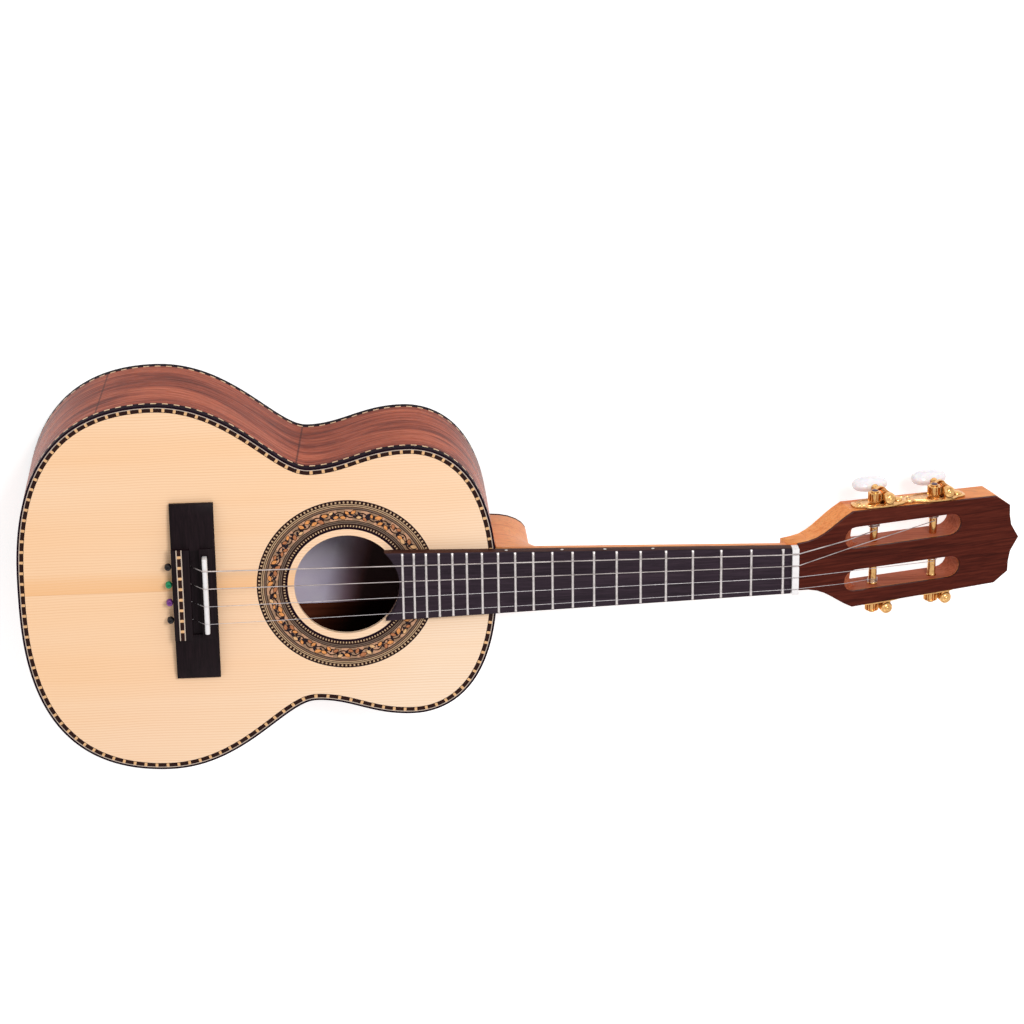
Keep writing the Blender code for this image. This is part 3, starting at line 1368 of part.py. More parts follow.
def make_plate(name, side):
    middle = (PLATE_NEAR_X + PLATE_FAR_X) / 2
    seat = head_side_y(middle) + GAP / math.cos(HEAD_TAPER)
    mesh = prism_mesh(name, [plate_outline(side)], 0, PLATE_THICKNESS)
    turn = Matrix.Rotation(-side * HEAD_TAPER, 4, "Z") @ Matrix.Rotation(-side * math.pi / 2, 4, "X")
    mesh.transform(Matrix.Translation((middle, side * seat, -PLATE_CENTRE_DEPTH)) @ turn)
    plate = add_object(name, mesh, GOLD, head_frame)
    for place in (0, 1) if side > 0 else (2, 3):
        _, post_x, _ = post_place(place)
        _, x, y = worm_place(place)
        for label, up in (("front", 1), ("back", -1)):
            join(plate, ear(f"{label}_{place}", side, x, y, up), ear_foot(f"{label}_{place}", side, x, y, up))
        boss_x = post_x + BOSS_OFFSET
        boss_y = plate_outer_y(boss_x)
        form = bmesh.new()
        bmesh.ops.create_uvsphere(form, u_segments=12, v_segments=6, radius=BOSS_RADIUS)
        bmesh.ops.scale(form, vec=(1, 0.7, 1), verts=form.verts)
        bmesh.ops.translate(form, vec=(boss_x, side * (boss_y - GAP), -PLATE_CENTRE_DEPTH), verts=form.verts)
        keep = bmesh.ops.bisect_plane(
            form,
            geom=[*form.verts, *form.edges, *form.faces],
            plane_co=(0, side * (boss_y - PLATE_THICKNESS / 2), 0),
            plane_no=(0, -side, 0),
            clear_outer=True,
        )
        bmesh.ops.holes_fill(form, edges=[e for e in keep["geom_cut"] if isinstance(e, bmesh.types.BMEdge)])
        boss_mesh = bpy.data.meshes.new("boss")
        form.to_mesh(boss_mesh)
        form.free()
        join(plate, add_object(f"boss_{place}", boss_mesh, None, head_frame))
        reach = (0, side * 2 * HEAD_HALF_WIDTH_AT_CORNER)
        cut(
            plate,
            rod(
                f"plate_bore_{place}",
                POST_BEARING_RADIUS + GAP,
                (post_x, reach[0], -POST_DEPTH),
                (post_x, reach[1], -POST_DEPTH),
                head_frame,
            ),
            rod(
                f"ear_bore_{place}",
                WORM_SHAFT_RADIUS + GAP,
                (x, side * y, -2 * HEAD_BACK),
                (x, side * y, HEAD_BACK),
                head_frame,
                12,
            ),
        )
    apply_modifiers(plate)


# Strings


def slot_entry(start, goal, radius):
    """Where a string, seen from above, is clear of the slot's edge. It rests over the headplate until there."""
    half = SLOT_WIDTH / 2 - radius - GAP
    end_centre = SLOT_NEAR_X + SLOT_WIDTH / 2
    steps = 400
    for i in range(steps):
        x, y = (start + (goal - start) * (i / steps))[:2]
        if math.hypot(min(0, x - end_centre), abs(y) - SLOT_CENTRE_Y) < half and x > SLOT_NEAR_X:
            return Vector((x, y, radius + GAP))
    return goal


def make_string(number, place, radius):
    """From its ball behind the bridge, over saddle, zero fret and nut, to the top of its post."""
    tail_y = string_y(place, STRING_SPACING_AT_SADDLE)
    nut_y = string_y(place, STRING_SPACING_AT_NUT)
    hole_z = BODY_DEPTH + STRING_HOLE_HEIGHT
    ball = Vector((BRIDGE_BACK_X - GAP - BALL_RADIUS, tail_y, hole_z))
    hole_end = Vector((BRIDGE_BACK_X + TIE_BLOCK_LENGTH + GAP, tail_y, hole_z))
    crown = Vector((SADDLE_X, tail_y, BODY_DEPTH + SADDLE_HEIGHT - SADDLE_THICKNESS / 2))
    wrap = SADDLE_THICKNESS / 2 + GAP + radius
    over_saddle = []
    for degrees in (143, 125, 107, 90):
        angle = math.radians(degrees)
        over_saddle.append(crown + Vector((wrap * math.cos(angle), 0, wrap * math.sin(angle))))
    zero = Vector((SCALE_LENGTH, nut_y, string_over_zero_fret(radius)))
    over_nut = Vector((NUT_X + NUT_LENGTH, nut_y, string_in_nut(radius)))
    side, post_x, _ = post_place(place)
    _, start = winding_route(place, radius)
    beside = -1 if place != 2 else 1
    meet_y = start + beside * (2 * radius + WINDING_SPACE)
    top = POST_BARREL_RADIUS + GAP + radius - POST_DEPTH
    in_head = HEAD_MATRIX.inverted() @ over_nut
    goal = Vector((post_x, side * meet_y, top))
    bend = slot_entry(in_head, goal, radius)
    route = [ball, hole_end, *over_saddle, zero, over_nut, HEAD_MATRIX @ bend, HEAD_MATRIX @ goal]
    wire = tube(f"string_{number}_wire", route, radius, 2, STEEL)
    parts.objects.unlink(wire)
    string = smooth(add_object(f"string_{number}", curve_to_mesh(wire), STEEL))
    form = bmesh.new()
    bmesh.ops.create_uvsphere(form, u_segments=10, v_segments=6, radius=BALL_RADIUS)
    bmesh.ops.translate(form, vec=ball, verts=form.verts)
    ball_mesh = bpy.data.meshes.new(f"ball_{number}")
    form.to_mesh(ball_mesh)
    form.free()
    join(string, add_object(f"ball_{number}", ball_mesh, None))
    apply_modifiers(string)


# The instrument

make_sides()
make_bindings()
make_soundboard()
make_back()
make_blocks()
make_linings()
make_braces()
make_fingerboard()
make_zero_fret()
make_nut()
make_headplate()
make_neck()
make_bridge()
make_saddle()
make_plate("tuner_plate_bass", 1)
make_plate("tuner_plate_treble", -1)
for string_place, (string_number, string_radius) in enumerate(zip(STRING_NUMBERS, STRING_RADII)):
    make_post(string_number, string_place)
    make_winding(string_number, string_place, string_radius)
    make_button(string_number, make_worm(string_number, string_place))
    make_string(string_number, string_place, string_radius)
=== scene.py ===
"""The looks of the cavaquinho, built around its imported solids."""

import json
import random
from math import asin, atan2, cos, dist, hypot, pi, radians, sin, tan

import bmesh
import bpy
from mathutils import Matrix, Vector

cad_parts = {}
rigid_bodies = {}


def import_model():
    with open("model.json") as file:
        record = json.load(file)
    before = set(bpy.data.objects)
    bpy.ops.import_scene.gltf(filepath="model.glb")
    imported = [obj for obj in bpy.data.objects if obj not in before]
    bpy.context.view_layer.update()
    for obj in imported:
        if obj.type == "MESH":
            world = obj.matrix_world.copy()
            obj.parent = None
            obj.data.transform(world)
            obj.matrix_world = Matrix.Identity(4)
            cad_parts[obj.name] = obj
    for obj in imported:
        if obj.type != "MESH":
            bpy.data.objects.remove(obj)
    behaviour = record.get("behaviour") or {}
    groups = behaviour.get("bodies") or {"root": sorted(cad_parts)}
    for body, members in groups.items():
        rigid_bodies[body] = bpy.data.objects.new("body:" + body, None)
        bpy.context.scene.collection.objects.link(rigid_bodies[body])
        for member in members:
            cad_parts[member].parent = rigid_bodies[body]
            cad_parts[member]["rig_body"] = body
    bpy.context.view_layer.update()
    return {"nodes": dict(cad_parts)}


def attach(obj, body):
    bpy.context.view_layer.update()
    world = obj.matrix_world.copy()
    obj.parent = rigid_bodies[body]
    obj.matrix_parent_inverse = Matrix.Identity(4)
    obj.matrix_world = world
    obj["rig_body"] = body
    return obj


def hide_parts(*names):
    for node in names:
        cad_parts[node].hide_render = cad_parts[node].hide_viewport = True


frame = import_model()

ROOT = "body_and_neck"


# Sizes shared with the solids, in metres

SCALE_LENGTH = 0.340
FRET_COUNT = 19
JOINT_X = SCALE_LENGTH / 2
BODY_DEPTH = 0.080
GAP = 0.0003
FRONT_X = JOINT_X - GAP
NECK_SLOPE = tan(radians(0.6))
BOARD_THICKNESS = 0.0059
BOARD_WIDTH_AT_NUT, BOARD_WIDTH_AT_END = 0.0294, 0.0426
HOLE_X, HOLE_RADIUS = 0.0805, 0.0312
HEAD_ANGLE = radians(15.1)
NUT_X, NUT_LENGTH = SCALE_LENGTH + 0.0054, 0.0040
NECK_END_X = NUT_X + NUT_LENGTH + GAP
# Number, place counted from the bass side, and radius of each string
STRINGS = ((4, 0, 0.00037), (3, 1, 0.00028), (2, 2, 0.00018), (1, 3, 0.00015))


def neck_top(x):
    return BODY_DEPTH + (JOINT_X - x) * NECK_SLOPE


def board_top(x):
    return neck_top(x) + BOARD_THICKNESS


def fret_x(number):
    return SCALE_LENGTH * 2 ** (-number / 12)


def board_half(x):
    share = (SCALE_LENGTH - x) / (SCALE_LENGTH - fret_x(FRET_COUNT))
    return (BOARD_WIDTH_AT_NUT + (BOARD_WIDTH_AT_END - BOARD_WIDTH_AT_NUT) * share) / 2


HEAD_ORIGIN = Vector((NECK_END_X + 0.0002, 0, neck_top(NECK_END_X) + 0.0005))
HEAD = Matrix.Translation(HEAD_ORIGIN) @ Matrix.Rotation(HEAD_ANGLE, 4, "Y")


# Materials

BLACK, WHITE = (0, 0, 0), (1, 1, 1)


def rgb(*values):
    """An sRGB colour of 0 to 255 as linear values."""
    return tuple((v / 255 / 12.92) if v <= 10 else ((v / 255 + 0.055) / 1.055) ** 2.4 for v in values)


class Nodes:
    """A node tree with short ways to add its nodes and link them."""

    def __init__(self, tree):
        self.tree = tree

    def put(self, socket, value):
        if isinstance(value, bpy.types.NodeSocket):
            self.tree.links.new(value, socket)
        elif isinstance(value, tuple) and len(value) == 3 and len(socket.default_value) == 4:
            socket.default_value = (*value, 1)
        else:
            socket.default_value = value

    def fill(self, made, inputs):
        for name, value in inputs.items():
            self.put(made.inputs[name.replace("_", " ")], value)
        return made

    def node(self, kind, **inputs):
        return self.fill(self.tree.nodes.new("ShaderNode" + kind), inputs)

    def maths(self, kind, first, second=0.0):
        made = self.node("Math")
        made.operation = kind
        self.put(made.inputs[0], first)
        self.put(made.inputs[1], second)
        return made.outputs[0]

    def times(self, first, second):
        return self.maths("MULTIPLY", first, second)

    def plus(self, first, second):
        return self.maths("ADD", first, second)

    def minus(self, first, second):
        return self.maths("SUBTRACT", first, second)


class Look(Nodes):
    """A node material around one Principled shader."""

    def __init__(self, name, roughness=0.4, metallic=0.0, coat=0.0, specular=0.5):
        self.material = bpy.data.materials.new(name)
        self.material.use_nodes = True
        super().__init__(self.material.node_tree)
        self.shader = self.tree.nodes["Principled BSDF"]
        constants = {"Roughness": roughness, "Metallic": metallic, "Specular IOR Level": specular}
        self.fill(self.shader, constants | {"Coat Weight": coat, "Coat Roughness": 0.08})
        self.coords = self.node("TexCoord").outputs["Object"]

    def mapped(self, scale, turn=(0, 0, 0), source=None):
        made = self.node("Mapping", Vector=source or self.coords, Rotation=turn, Scale=scale)
        return made.outputs[0]

    def noise(self, vector, scale, detail=3, roughness=0.55, distortion=0.0):
        settings = {"Vector": vector, "Scale": scale, "Detail": detail}
        settings |= {"Roughness": roughness, "Distortion": distortion}
        return self.node("TexNoise", **settings).outputs["Fac"]

    def ramp(self, factor, *stops):
        made = self.node("ValToRGB", Fac=factor)
        elements = made.color_ramp.elements
        while len(elements) < len(stops):
            elements.new(0.5)
        for element, (place, colour) in zip(elements, stops):
            element.position = place
            element.color = (*colour, 1)
        return made.outputs["Color"]

    def mix(self, factor, first, second, kind="MIX"):
        made = self.node("Mix")
        made.data_type = "RGBA"
        made.blend_type = kind
        self.fill(made, {"Factor": factor, "A": first, "B": second})
        return made.outputs["Result"]

    def shade(self, amount, tone, *stops_after_factor):
        """The tone multiplied by a ramp."""
        return self.mix(amount, tone, self.ramp(*stops_after_factor), "MULTIPLY")

    def axes(self):
        return self.node("SeparateXYZ", Vector=self.coords).outputs

    def finish(self, tone, bump, gloss=None):
        """The material. Bump is (height, strength, distance), gloss (factor, low, high) of the roughness."""
        height, strength, distance = bump
        bump = self.node("Bump", Height=height, Strength=strength, Distance=distance)
        self.fill(self.shader, {"Base Color": tone, "Normal": bump.outputs[0]})
        if gloss:
            factor, low, high = gloss
            spread = self.node("MapRange", Value=factor, To_Min=low, To_Max=high)
            self.put(self.shader.inputs["Roughness"], spread.outputs[0])
        return self.material


STREAK = 0.045


def streaked_wood(name, roughness, specular, scale, *tones, along=0, turn=0, line=None):
    """Wood whose streaks run along one axis: broad figure, fine growth lines and pores."""
    look = Look(name, roughness, specular=specular)
    dark, middle, pale = (rgb(*tone) for tone in tones)
    squeeze = [scale, scale, scale]
    squeeze[along] *= STREAK
    base = look.mapped((1, 1, 1), (0, turn, 0)) if turn else look.coords
    grain = look.mapped(squeeze, source=base)
    broad = look.noise(grain, 95, 4, 0.6, 0.4)
    fine = look.noise(grain, 620, 3, 0.6)
    pores = look.noise(grain, 2100, 2, 0.5)
    cast = look.noise(base, 14, 2)
    figure = look.ramp(broad, (0.30, dark), (0.46, middle), (0.60, middle), (0.74, pale))
    lines = look.ramp(fine, (0.36, rgb(*line) if line else dark), (0.50, middle), (0.68, pale))
    tone = look.mix(0.42, figure, lines)
    tone = look.shade(0.75, tone, pores, (0.30, (0.55, 0.5, 0.5)), (0.46, WHITE))
    tone = look.shade(0.35, tone, cast, (0.3, (0.75, 0.72, 0.70)), (0.7, WHITE))
    gloss = (fine, roughness - 0.06, roughness + 0.10)
    return look.finish(tone, (look.plus(fine, pores), 0.10, 0.0002), gloss)


GROWTH_RING, STRING_RIDGE = 0.00165, 0.00034


def spruce():
    """Pale varnished spruce: fine lines along the neck's direction, a warm stripe by the middle seam, and
    painted light rising towards the neck and the treble side.
    """
    look = Look("spruce_top", 0.40, specular=0.20)
    x, y, _ = look.axes()
    wander = look.noise(look.mapped((0.5, 1, 1)), 16, 2)
    phase = look.times(look.plus(y, look.times(wander, 0.006)), 2 * pi / GROWTH_RING)
    rings = look.plus(look.times(look.maths("SINE", phase), 0.5), 0.5)
    sharp = look.maths("POWER", rings, 5.0)
    patchy = look.noise(look.mapped((0.03, 1, 1)), 130, 2)
    fibres = look.noise(look.mapped((0.035, 1, 1)), 1500, 3)
    broad = look.noise(look.mapped((0.12, 1, 1)), 26, 2)
    tone = look.mix(look.ramp(broad, (0.35, BLACK), (0.65, WHITE)), rgb(255, 229, 204), rgb(255, 223, 192))
    tone = look.mix(look.times(sharp, look.plus(look.times(patchy, 0.95), 0.12)), tone, rgb(240, 198, 156))
    tone = look.mix(look.times(fibres, 0.14), tone, rgb(240, 194, 142))
    # Painted light: a ramp across the top, darker and warmer away from the neck and the treble side.
    slant = look.times(look.plus(look.minus(x, y), 0.15), 3.0)
    painted_light = ((0.36, (1, 0.88, 0.75)), (0.60, (1, 0.90, 0.81)), (0.75, (1, 0.92, 0.84)), (1.0, WHITE))
    tone = look.shade(1.0, tone, slant, *painted_light)
    greys = ((0.498, 0), (0.502, 0.75), (0.575, 0.55), (0.64, 0))
    stripe = look.ramp(look.times(look.plus(y, 0.05), 10.0), *((place, (v, v, v)) for place, v in greys))
    tone = look.mix(look.times(stripe, 0.85), tone, rgb(246, 184, 122))
    seam = look.ramp(look.times(look.maths("ABSOLUTE", y), 1000.0), (0.08, WHITE), (0.22, BLACK))
    tone = look.mix(look.times(seam, 0.5), tone, rgb(214, 150, 96))
    return look.finish(tone, (look.plus(fibres, sharp), 0.05, 0.0002), (fibres, 0.26, 0.42))


SIDE_SEAMS_X = (-0.0575, 0.0575)


def side_wood():
    """Reddish brown wood bent round the body: streaks at nearly constant height, with dark drifts."""
    look = Look("side_rosewood", 0.27, specular=0.016)
    x, y, z = look.axes()
    broad = look.noise(look.mapped((0.10, 0.10, 1)), 62, 4, 0.62, 0.8)
    fine = look.noise(look.mapped((0.05, 0.05, 1)), 760, 3, 0.6, 0.3)
    pores = look.noise(look.mapped((0.07, 0.07, 1)), 2400, 2)
    drift = look.noise(look.mapped((0.6, 0.6, 0.25)), 26, 2, 0.5, 0.5)
    dark, dim, middle, pale = rgb(84, 34, 26), rgb(132, 58, 42), rgb(176, 88, 64), rgb(206, 114, 84)
    tone = look.ramp(broad, (0.34, dark), (0.43, dim), (0.49, middle), (0.60, pale), (0.76, middle))
    tone = look.mix(0.35, tone, look.ramp(fine, (0.34, dark), (0.50, middle), (0.70, pale)))
    tone = look.shade(0.8, tone, pores, (0.30, (0.45, 0.4, 0.38)), (0.45, WHITE))
    tone = look.shade(0.6, tone, drift, (0.34, (0.62, 0.52, 0.5)), (0.5, WHITE))
    slant = look.plus(x, look.times(z, 0.06))
    off = look.maths("MINIMUM", *(look.maths("ABSOLUTE", look.minus(slant, where)) for where in SIDE_SEAMS_X))
    seam = look.ramp(look.times(off, 1000.0), (0.20, WHITE), (0.75, BLACK))
    seam = look.times(seam, look.maths("GREATER_THAN", y, 0.0))
    tone = look.mix(look.times(seam, 0.75), tone, rgb(70, 28, 20))
    return look.finish(tone, (look.plus(fine, pores), 0.08, 0.0002), (fine, 0.20, 0.34))


def plain(name, colour, roughness, specular=0.3, amount=0.12, scale=300):
    """A nearly even surface that still varies a little in colour and gloss."""
    look = Look(name, roughness, specular=specular)
    spread = look.noise(look.coords, scale, 4)
    colour = rgb(*colour)
    darker = tuple(c * (1 - amount) for c in colour)
    lighter = tuple(min(1, c * (1 + amount * 0.6)) for c in colour)
    tone = look.ramp(spread, (0.3, darker), (0.5, colour), (0.72, lighter))
    gloss = (spread, max(0.04, roughness - 0.05), roughness + 0.07)
    return look.finish(tone, (spread, 0.04, 0.0001), gloss)


def metal(name, colour, roughness, worn):
    look = Look(name, roughness, 1.0)
    colour = rgb(*colour)
    cloud = look.noise(look.coords, 420, 4)
    brushed = look.noise(look.mapped((1, 1, 0.1)), 2600, 2)
    bright = tuple(min(1, c * 1.06) for c in colour)
    tone = look.ramp(cloud, (0.28, rgb(*worn)), (0.5, colour), (0.75, bright))
    gloss = (look.times(cloud, brushed), roughness - 0.05, roughness + 0.22)
    return look.finish(tone, (brushed, 0.03, 0.0001), gloss)


def pearl():
    look = Look("pearl", 0.16, coat=0.8)
    swirl = look.noise(look.coords, 170, 3, 0.5, 1.6)
    bands = look.noise(look.mapped((1, 1, 2.5)), 240, 2, 0.5, 1.5)
    tone = look.ramp(swirl, (0.30, rgb(240, 232, 240)), (0.5, rgb(251, 247, 250)), (0.7, rgb(253, 253, 253)))
    tone = look.mix(0.35, tone, look.ramp(bands, (0.35, rgb(230, 224, 236)), (0.6, rgb(254, 252, 254))))
    look.fill(look.shader, {"Subsurface Weight": 0.15, "Subsurface Scale": 0.002})
    return look.finish(tone, (swirl, 0.03, 0.0002))


def paper():
    """A bare label, slightly foxed, with painted shade that darkens it to deep brown towards the neck."""
    look = Look("label_paper", 0.75)
    x, y, _ = look.axes()
    fibre = look.noise(look.coords, 900, 4)
    stain = look.noise(look.coords, 45, 3)
    whites = ((0.30, rgb(226, 214, 240)), (0.55, rgb(240, 230, 252)), (0.75, rgb(246, 238, 254)))
    tone = look.mix(look.times(fibre, 0.18), look.ramp(stain, *whites), rgb(184, 172, 200))
    # Painted shade: the label darkens to deep brown towards the neck.
    painted_shade = ((0.76, WHITE), (0.89, rgb(176, 150, 150)), (0.97, rgb(104, 66, 60)), (1.0, rgb(64, 36, 32)))
    tone = look.shade(1.0, tone, look.times(look.minus(x, look.times(y, 0.25)), 10.0), *painted_shade)
    return look.finish(tone, (fibre, 0.1, 0.0002))


def inner_back():
    """The back's inner face, brown below the hole, with painted shade that darkens it towards the neck and
    the treble side.
    """
    look = Look("inner_back", 0.6, specular=0.04)
    x, y, _ = look.axes()
    grain = look.noise(look.mapped((0.045, 1, 1)), 160, 4, 0.6, 0.4)
    tone = look.ramp(grain, (0.30, rgb(60, 26, 16)), (0.5, rgb(104, 52, 34)), (0.72, rgb(128, 70, 48)))
    shadows = ((0.50, WHITE), (0.60, rgb(150, 140, 136)), (0.70, rgb(56, 46, 44)))
    tone = look.shade(1.0, tone, look.times(look.minus(x, y), 5.0), *shadows)
    return look.finish(tone, (grain, 0.08, 0.0002), (grain, 0.55, 0.70))


def wound_steel():
    """Round-wound string: fine ridges along its length."""
    look = Look("wound_steel", 0.34, 1.0)
    turns = look.maths("SINE", look.times(look.axes()[0], 2 * pi / STRING_RIDGE))
    tarnish = look.noise(look.mapped((0.2, 1, 1)), 260, 3)
    greys = ((0.3, rgb(150, 140, 138)), (0.55, rgb(196, 186, 184)), (0.8, rgb(214, 206, 202)))
    return look.finish(look.ramp(tarnish, *greys), (turns, 0.5, 0.00006))


# Each look's slot and material
LOOKS = {
    "spruce": ("spruce", spruce()),
    "side": ("rosewood", side_wood()),
    "inner_back": ("rosewood", inner_back()),
    "wound": ("steel", wound_steel()),
    "pearl": ("pearl", pearl()),
    "paper": ("paper", paper()),
    # The binding's purple cast is painted reflection: a sheen set into the black while its own gloss is
    # almost off.
    "black": ("black_plastic", plain("black_binding", (30, 17, 28), 0.30, 0.004, 0.35)),
    "white": ("pale_wood", plain("white_line", (200, 180, 164), 0.30, 0.12, 0.08)),
    "bone": ("bone", plain("bone", (242, 238, 238), 0.26, 0.3, 0.04, 420)),
    "dot": ("bone", plain("side_dot", (226, 222, 216), 0.3, amount=0.05)),
    "ball_black": ("steel", plain("ball_black", (34, 30, 32), 0.35, amount=0.2)),
    "ball_green": ("steel", plain("ball_green", (34, 146, 98), 0.35, amount=0.15)),
    "ball_purple": ("steel", plain("ball_purple", (126, 66, 140), 0.35, amount=0.15)),
    "gold": ("gold", metal("gold", (216, 168, 108), 0.20, (178, 128, 76))),
    "fret": ("steel", metal("fret_metal", (206, 198, 196), 0.34, (186, 178, 176))),
    "steel": ("steel", metal("plain_steel", (206, 200, 202), 0.28, (176, 170, 174))),
    "dark_metal": ("steel", metal("dark_screw", (84, 66, 78), 0.32, (48, 36, 42))),
}
# Slot, material, roughness, specular, scale and the dark, middle and pale tones
WOODS = {
    "back": ("rosewood", "back_rosewood", 0.34, 0.15, 0.8, (64, 26, 18), (118, 56, 40), (156, 84, 64)),
    "headplate": (
        "rosewood", "headplate_rosewood", 0.36, 0.06, 1.5, (44, 13, 9), (82, 31, 22), (112, 50, 36)
    ),
    # Near-black inner faces of the sides: rosewood darkened with painted shade from inside the closed body.
    "inner_side": ("rosewood", "inner_side", 0.6, 0.02, 1.0, (14, 6, 5), (24, 9, 8), (36, 15, 12)),
    "cedar": ("cedar", "neck_cedar", 0.36, 0.12, 1.2, (222, 112, 50), (252, 158, 86), (254, 186, 118)),
    # Duller, darker cedar for the slot walls: painted shade in the recesses of the head.
    "slot": ("cedar", "slot_cedar", 0.5, 0.08, 1.2, (150, 74, 48), (196, 110, 78), (214, 132, 102)),
    "inside": ("pale_wood", "inside_wood", 0.7, 0.1, 1.0, (120, 76, 42), (176, 128, 84), (206, 164, 116)),
    "board": ("ebony", "board_ebony", 0.44, 0.12, 1.6, (22, 14, 22), (46, 34, 44), (66, 52, 62)),
    "board_side": ("ebony", "board_edge", 0.44, 0.08, 1.6, (40, 20, 18), (70, 40, 34), (92, 58, 50)),
    "bridge": ("ebony", "bridge_wood", 0.40, 0.07, 1.6, (12, 6, 8), (27, 17, 21), (42, 28, 32)),
}
WOOD_EXTRAS = {"headplate": {"turn": -HEAD_ANGLE}, "board": {"line": (30, 20, 28)}, "bridge": {"along": 1}}
for key, (slot, *settings) in WOODS.items():
    LOOKS[key] = (slot, streaked_wood(*settings, **WOOD_EXTRAS.get(key, {})))
# Colour, specular, amount and scale of the variation
VENEERS = {
    "amber": ((228, 180, 130), 0.10, 0.20, 700),
    "dark": ((44, 24, 20), 0.06, 0.30, 900),
    "ink": ((38, 30, 36), 0.06, 0.30, 900),
    "brown": ((84, 46, 30), 0.06, 0.30, 900),
    "cream": ((232, 194, 148), 0.15, 0.22, 700),
    "straw": ((200, 166, 130), 0.15, 0.20, 900),
    "tan": ((198, 150, 118), 0.15, 0.30, 700),
    "olive": ((156, 122, 96), 0.15, 0.30, 700),
    "orange": ((226, 150, 88), 0.15, 0.30, 900),
    "rust": ((182, 116, 78), 0.12, 0.30, 900),
    "grey": ((116, 96, 82), 0.10, 0.16, 900),
}
for key, (colour, *settings) in VENEERS.items():
    LOOKS[key] = ("marquetry", plain(f"{key}_veneer", colour, 0.34, *settings))


# Building helpers


def add(name, data):
    made = bpy.data.objects.new(name, data)
    bpy.context.scene.collection.objects.link(made)
    return made


def place(name, mesh, looks, node=None, body=ROOT, angle=35):
    """A finished piece: its materials, smooth shading, the body it rides on and the node it stands for."""
    made = add(name, mesh)
    for look in looks.split():
        mesh.materials.append(LOOKS[look][1])
    mesh.shade_smooth()
    mesh.set_sharp_from_angle(angle=radians(angle))
    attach(made, body)
    if node:
        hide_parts(node)
    return made


def from_form(form, name, matrix=None):
    if matrix:
        bmesh.ops.transform(form, matrix=matrix, verts=form.verts)
    bmesh.ops.recalc_face_normals(form, faces=form.faces)
    mesh = bpy.data.meshes.new(name)
    form.to_mesh(mesh)
    form.free()
    return mesh


def form_of(mesh):
    """A mesh as a form to edit. The mesh itself is removed."""
    form = bmesh.new()
    form.from_mesh(mesh)
    bpy.data.meshes.remove(mesh)
    return form


def raw_mesh(name, points, faces, marks=(), matrix=None):
    """A mesh of points and faces, with a material index for each face where marks are given."""
    mesh = bpy.data.meshes.new("raw")
    mesh.from_pydata([tuple(p) for p in points], [], faces)
    for polygon, mark in zip(mesh.polygons, marks):
        polygon.material_index = mark
    return from_form(form_of(mesh), name, matrix)


def skin(sections, loop=False):
    """Points and faces over sections of equal length, closed on the first one or capped at both ends."""
    size, count = len(sections[0]), len(sections)
    points = [point for section in sections for point in section]
    faces = []
    for i in range(count if loop else count - 1):
        j = (i + 1) % count
        for k in range(size):
            m = (k + 1) % size
            faces.append((size * i + k, size * i + m, size * j + m, size * j + k))
    if not loop:
        faces += [tuple(range(size)), tuple(range(len(points) - size, len(points)))]
    return points, faces


def at_angle(radius, angle):
    return radius * cos(angle), radius * sin(angle)


def circle(radius, count):
    return [at_angle(radius, 2 * pi * i / count) for i in range(count)]


def soften(form, offset, segments=2, angle=0.0, chosen=None, clamp=False):
    """Rounds the edges sharper than an angle in radians, all of them or those whose ends are chosen."""
    edges = [
        edge
        for edge in form.edges
        if len(edge.link_faces) == 2
        and edge.calc_face_angle(0) > angle
        and (not chosen or all(chosen(end.co) for end in edge.verts))
    ]
    settings = {"offset": offset, "segments": segments, "profile": 0.5, "clamp_overlap": clamp}
    bmesh.ops.bevel(form, geom=edges, affect="EDGES", **settings)


def curve_mesh(name, curve, matrix=None):
    holder = add(name, curve)
    bpy.context.view_layer.update()
    mesh = bpy.data.meshes.new_from_object(holder.evaluated_get(bpy.context.evaluated_depsgraph_get()))
    bpy.data.objects.remove(holder, do_unlink=True)
    form = form_of(mesh)
    bmesh.ops.remove_doubles(form, verts=form.verts, dist=1e-7)
    return from_form(form, name, matrix)


def new_curve(name, loops, cyclic, **settings):
    curve = bpy.data.curves.new(name, "CURVE")
    for key, value in settings.items():
        setattr(curve, key, value)
    for loop in loops:
        spline = curve.splines.new("POLY")
        spline.points.add(len(loop) - 1)
        for point, where in zip(spline.points, loop):
            point.co = (*where, 1)
        spline.use_cyclic_u = cyclic
    return curve


def flat_mesh(name, loops, bottom, top):
    """A flat outline with holes between two heights."""
    loops = [[(x, y, 0) for x, y in loop] for loop in loops]
    curve = new_curve(name, loops, True, dimensions="2D", fill_mode="BOTH", extrude=(top - bottom) / 2)
    return curve_mesh(name, curve, Matrix.Translation((0, 0, (top + bottom) / 2)))


def tube_mesh(name, route, radius, resolution=3, matrix=None):
    bevel = {"bevel_depth": radius, "bevel_resolution": resolution, "use_fill_caps": True}
    return curve_mesh(name, new_curve(name, [route], False, dimensions="3D", **bevel), matrix)


def turned_mesh(name, profile, steps=32, matrix=None):
    """A turned shape about Z from (radius, height) pairs, top first, closed at both ends."""
    points, faces, rows = [], [], []
    for radius, height in [(0.0, profile[0][1]), *profile, (0.0, profile[-1][1])]:
        ring = [(x, y, height) for x, y in circle(radius, steps)] if radius > 1e-9 else [(0, 0, height)]
        rows.append(range(len(points), len(points) + len(ring)))
        points += ring
    for upper, lower in zip(rows, rows[1:]):
        for i in range(steps):
            k = (i + 1) % steps
            if len(upper) == 1:
                faces.append((upper[0], lower[i], lower[k]))
            elif len(lower) == 1:
                faces.append((upper[i], lower[0], upper[k]))
            else:
                faces.append((upper[i], lower[i], lower[k], upper[k]))
    return raw_mesh(name, points, faces, matrix=matrix)


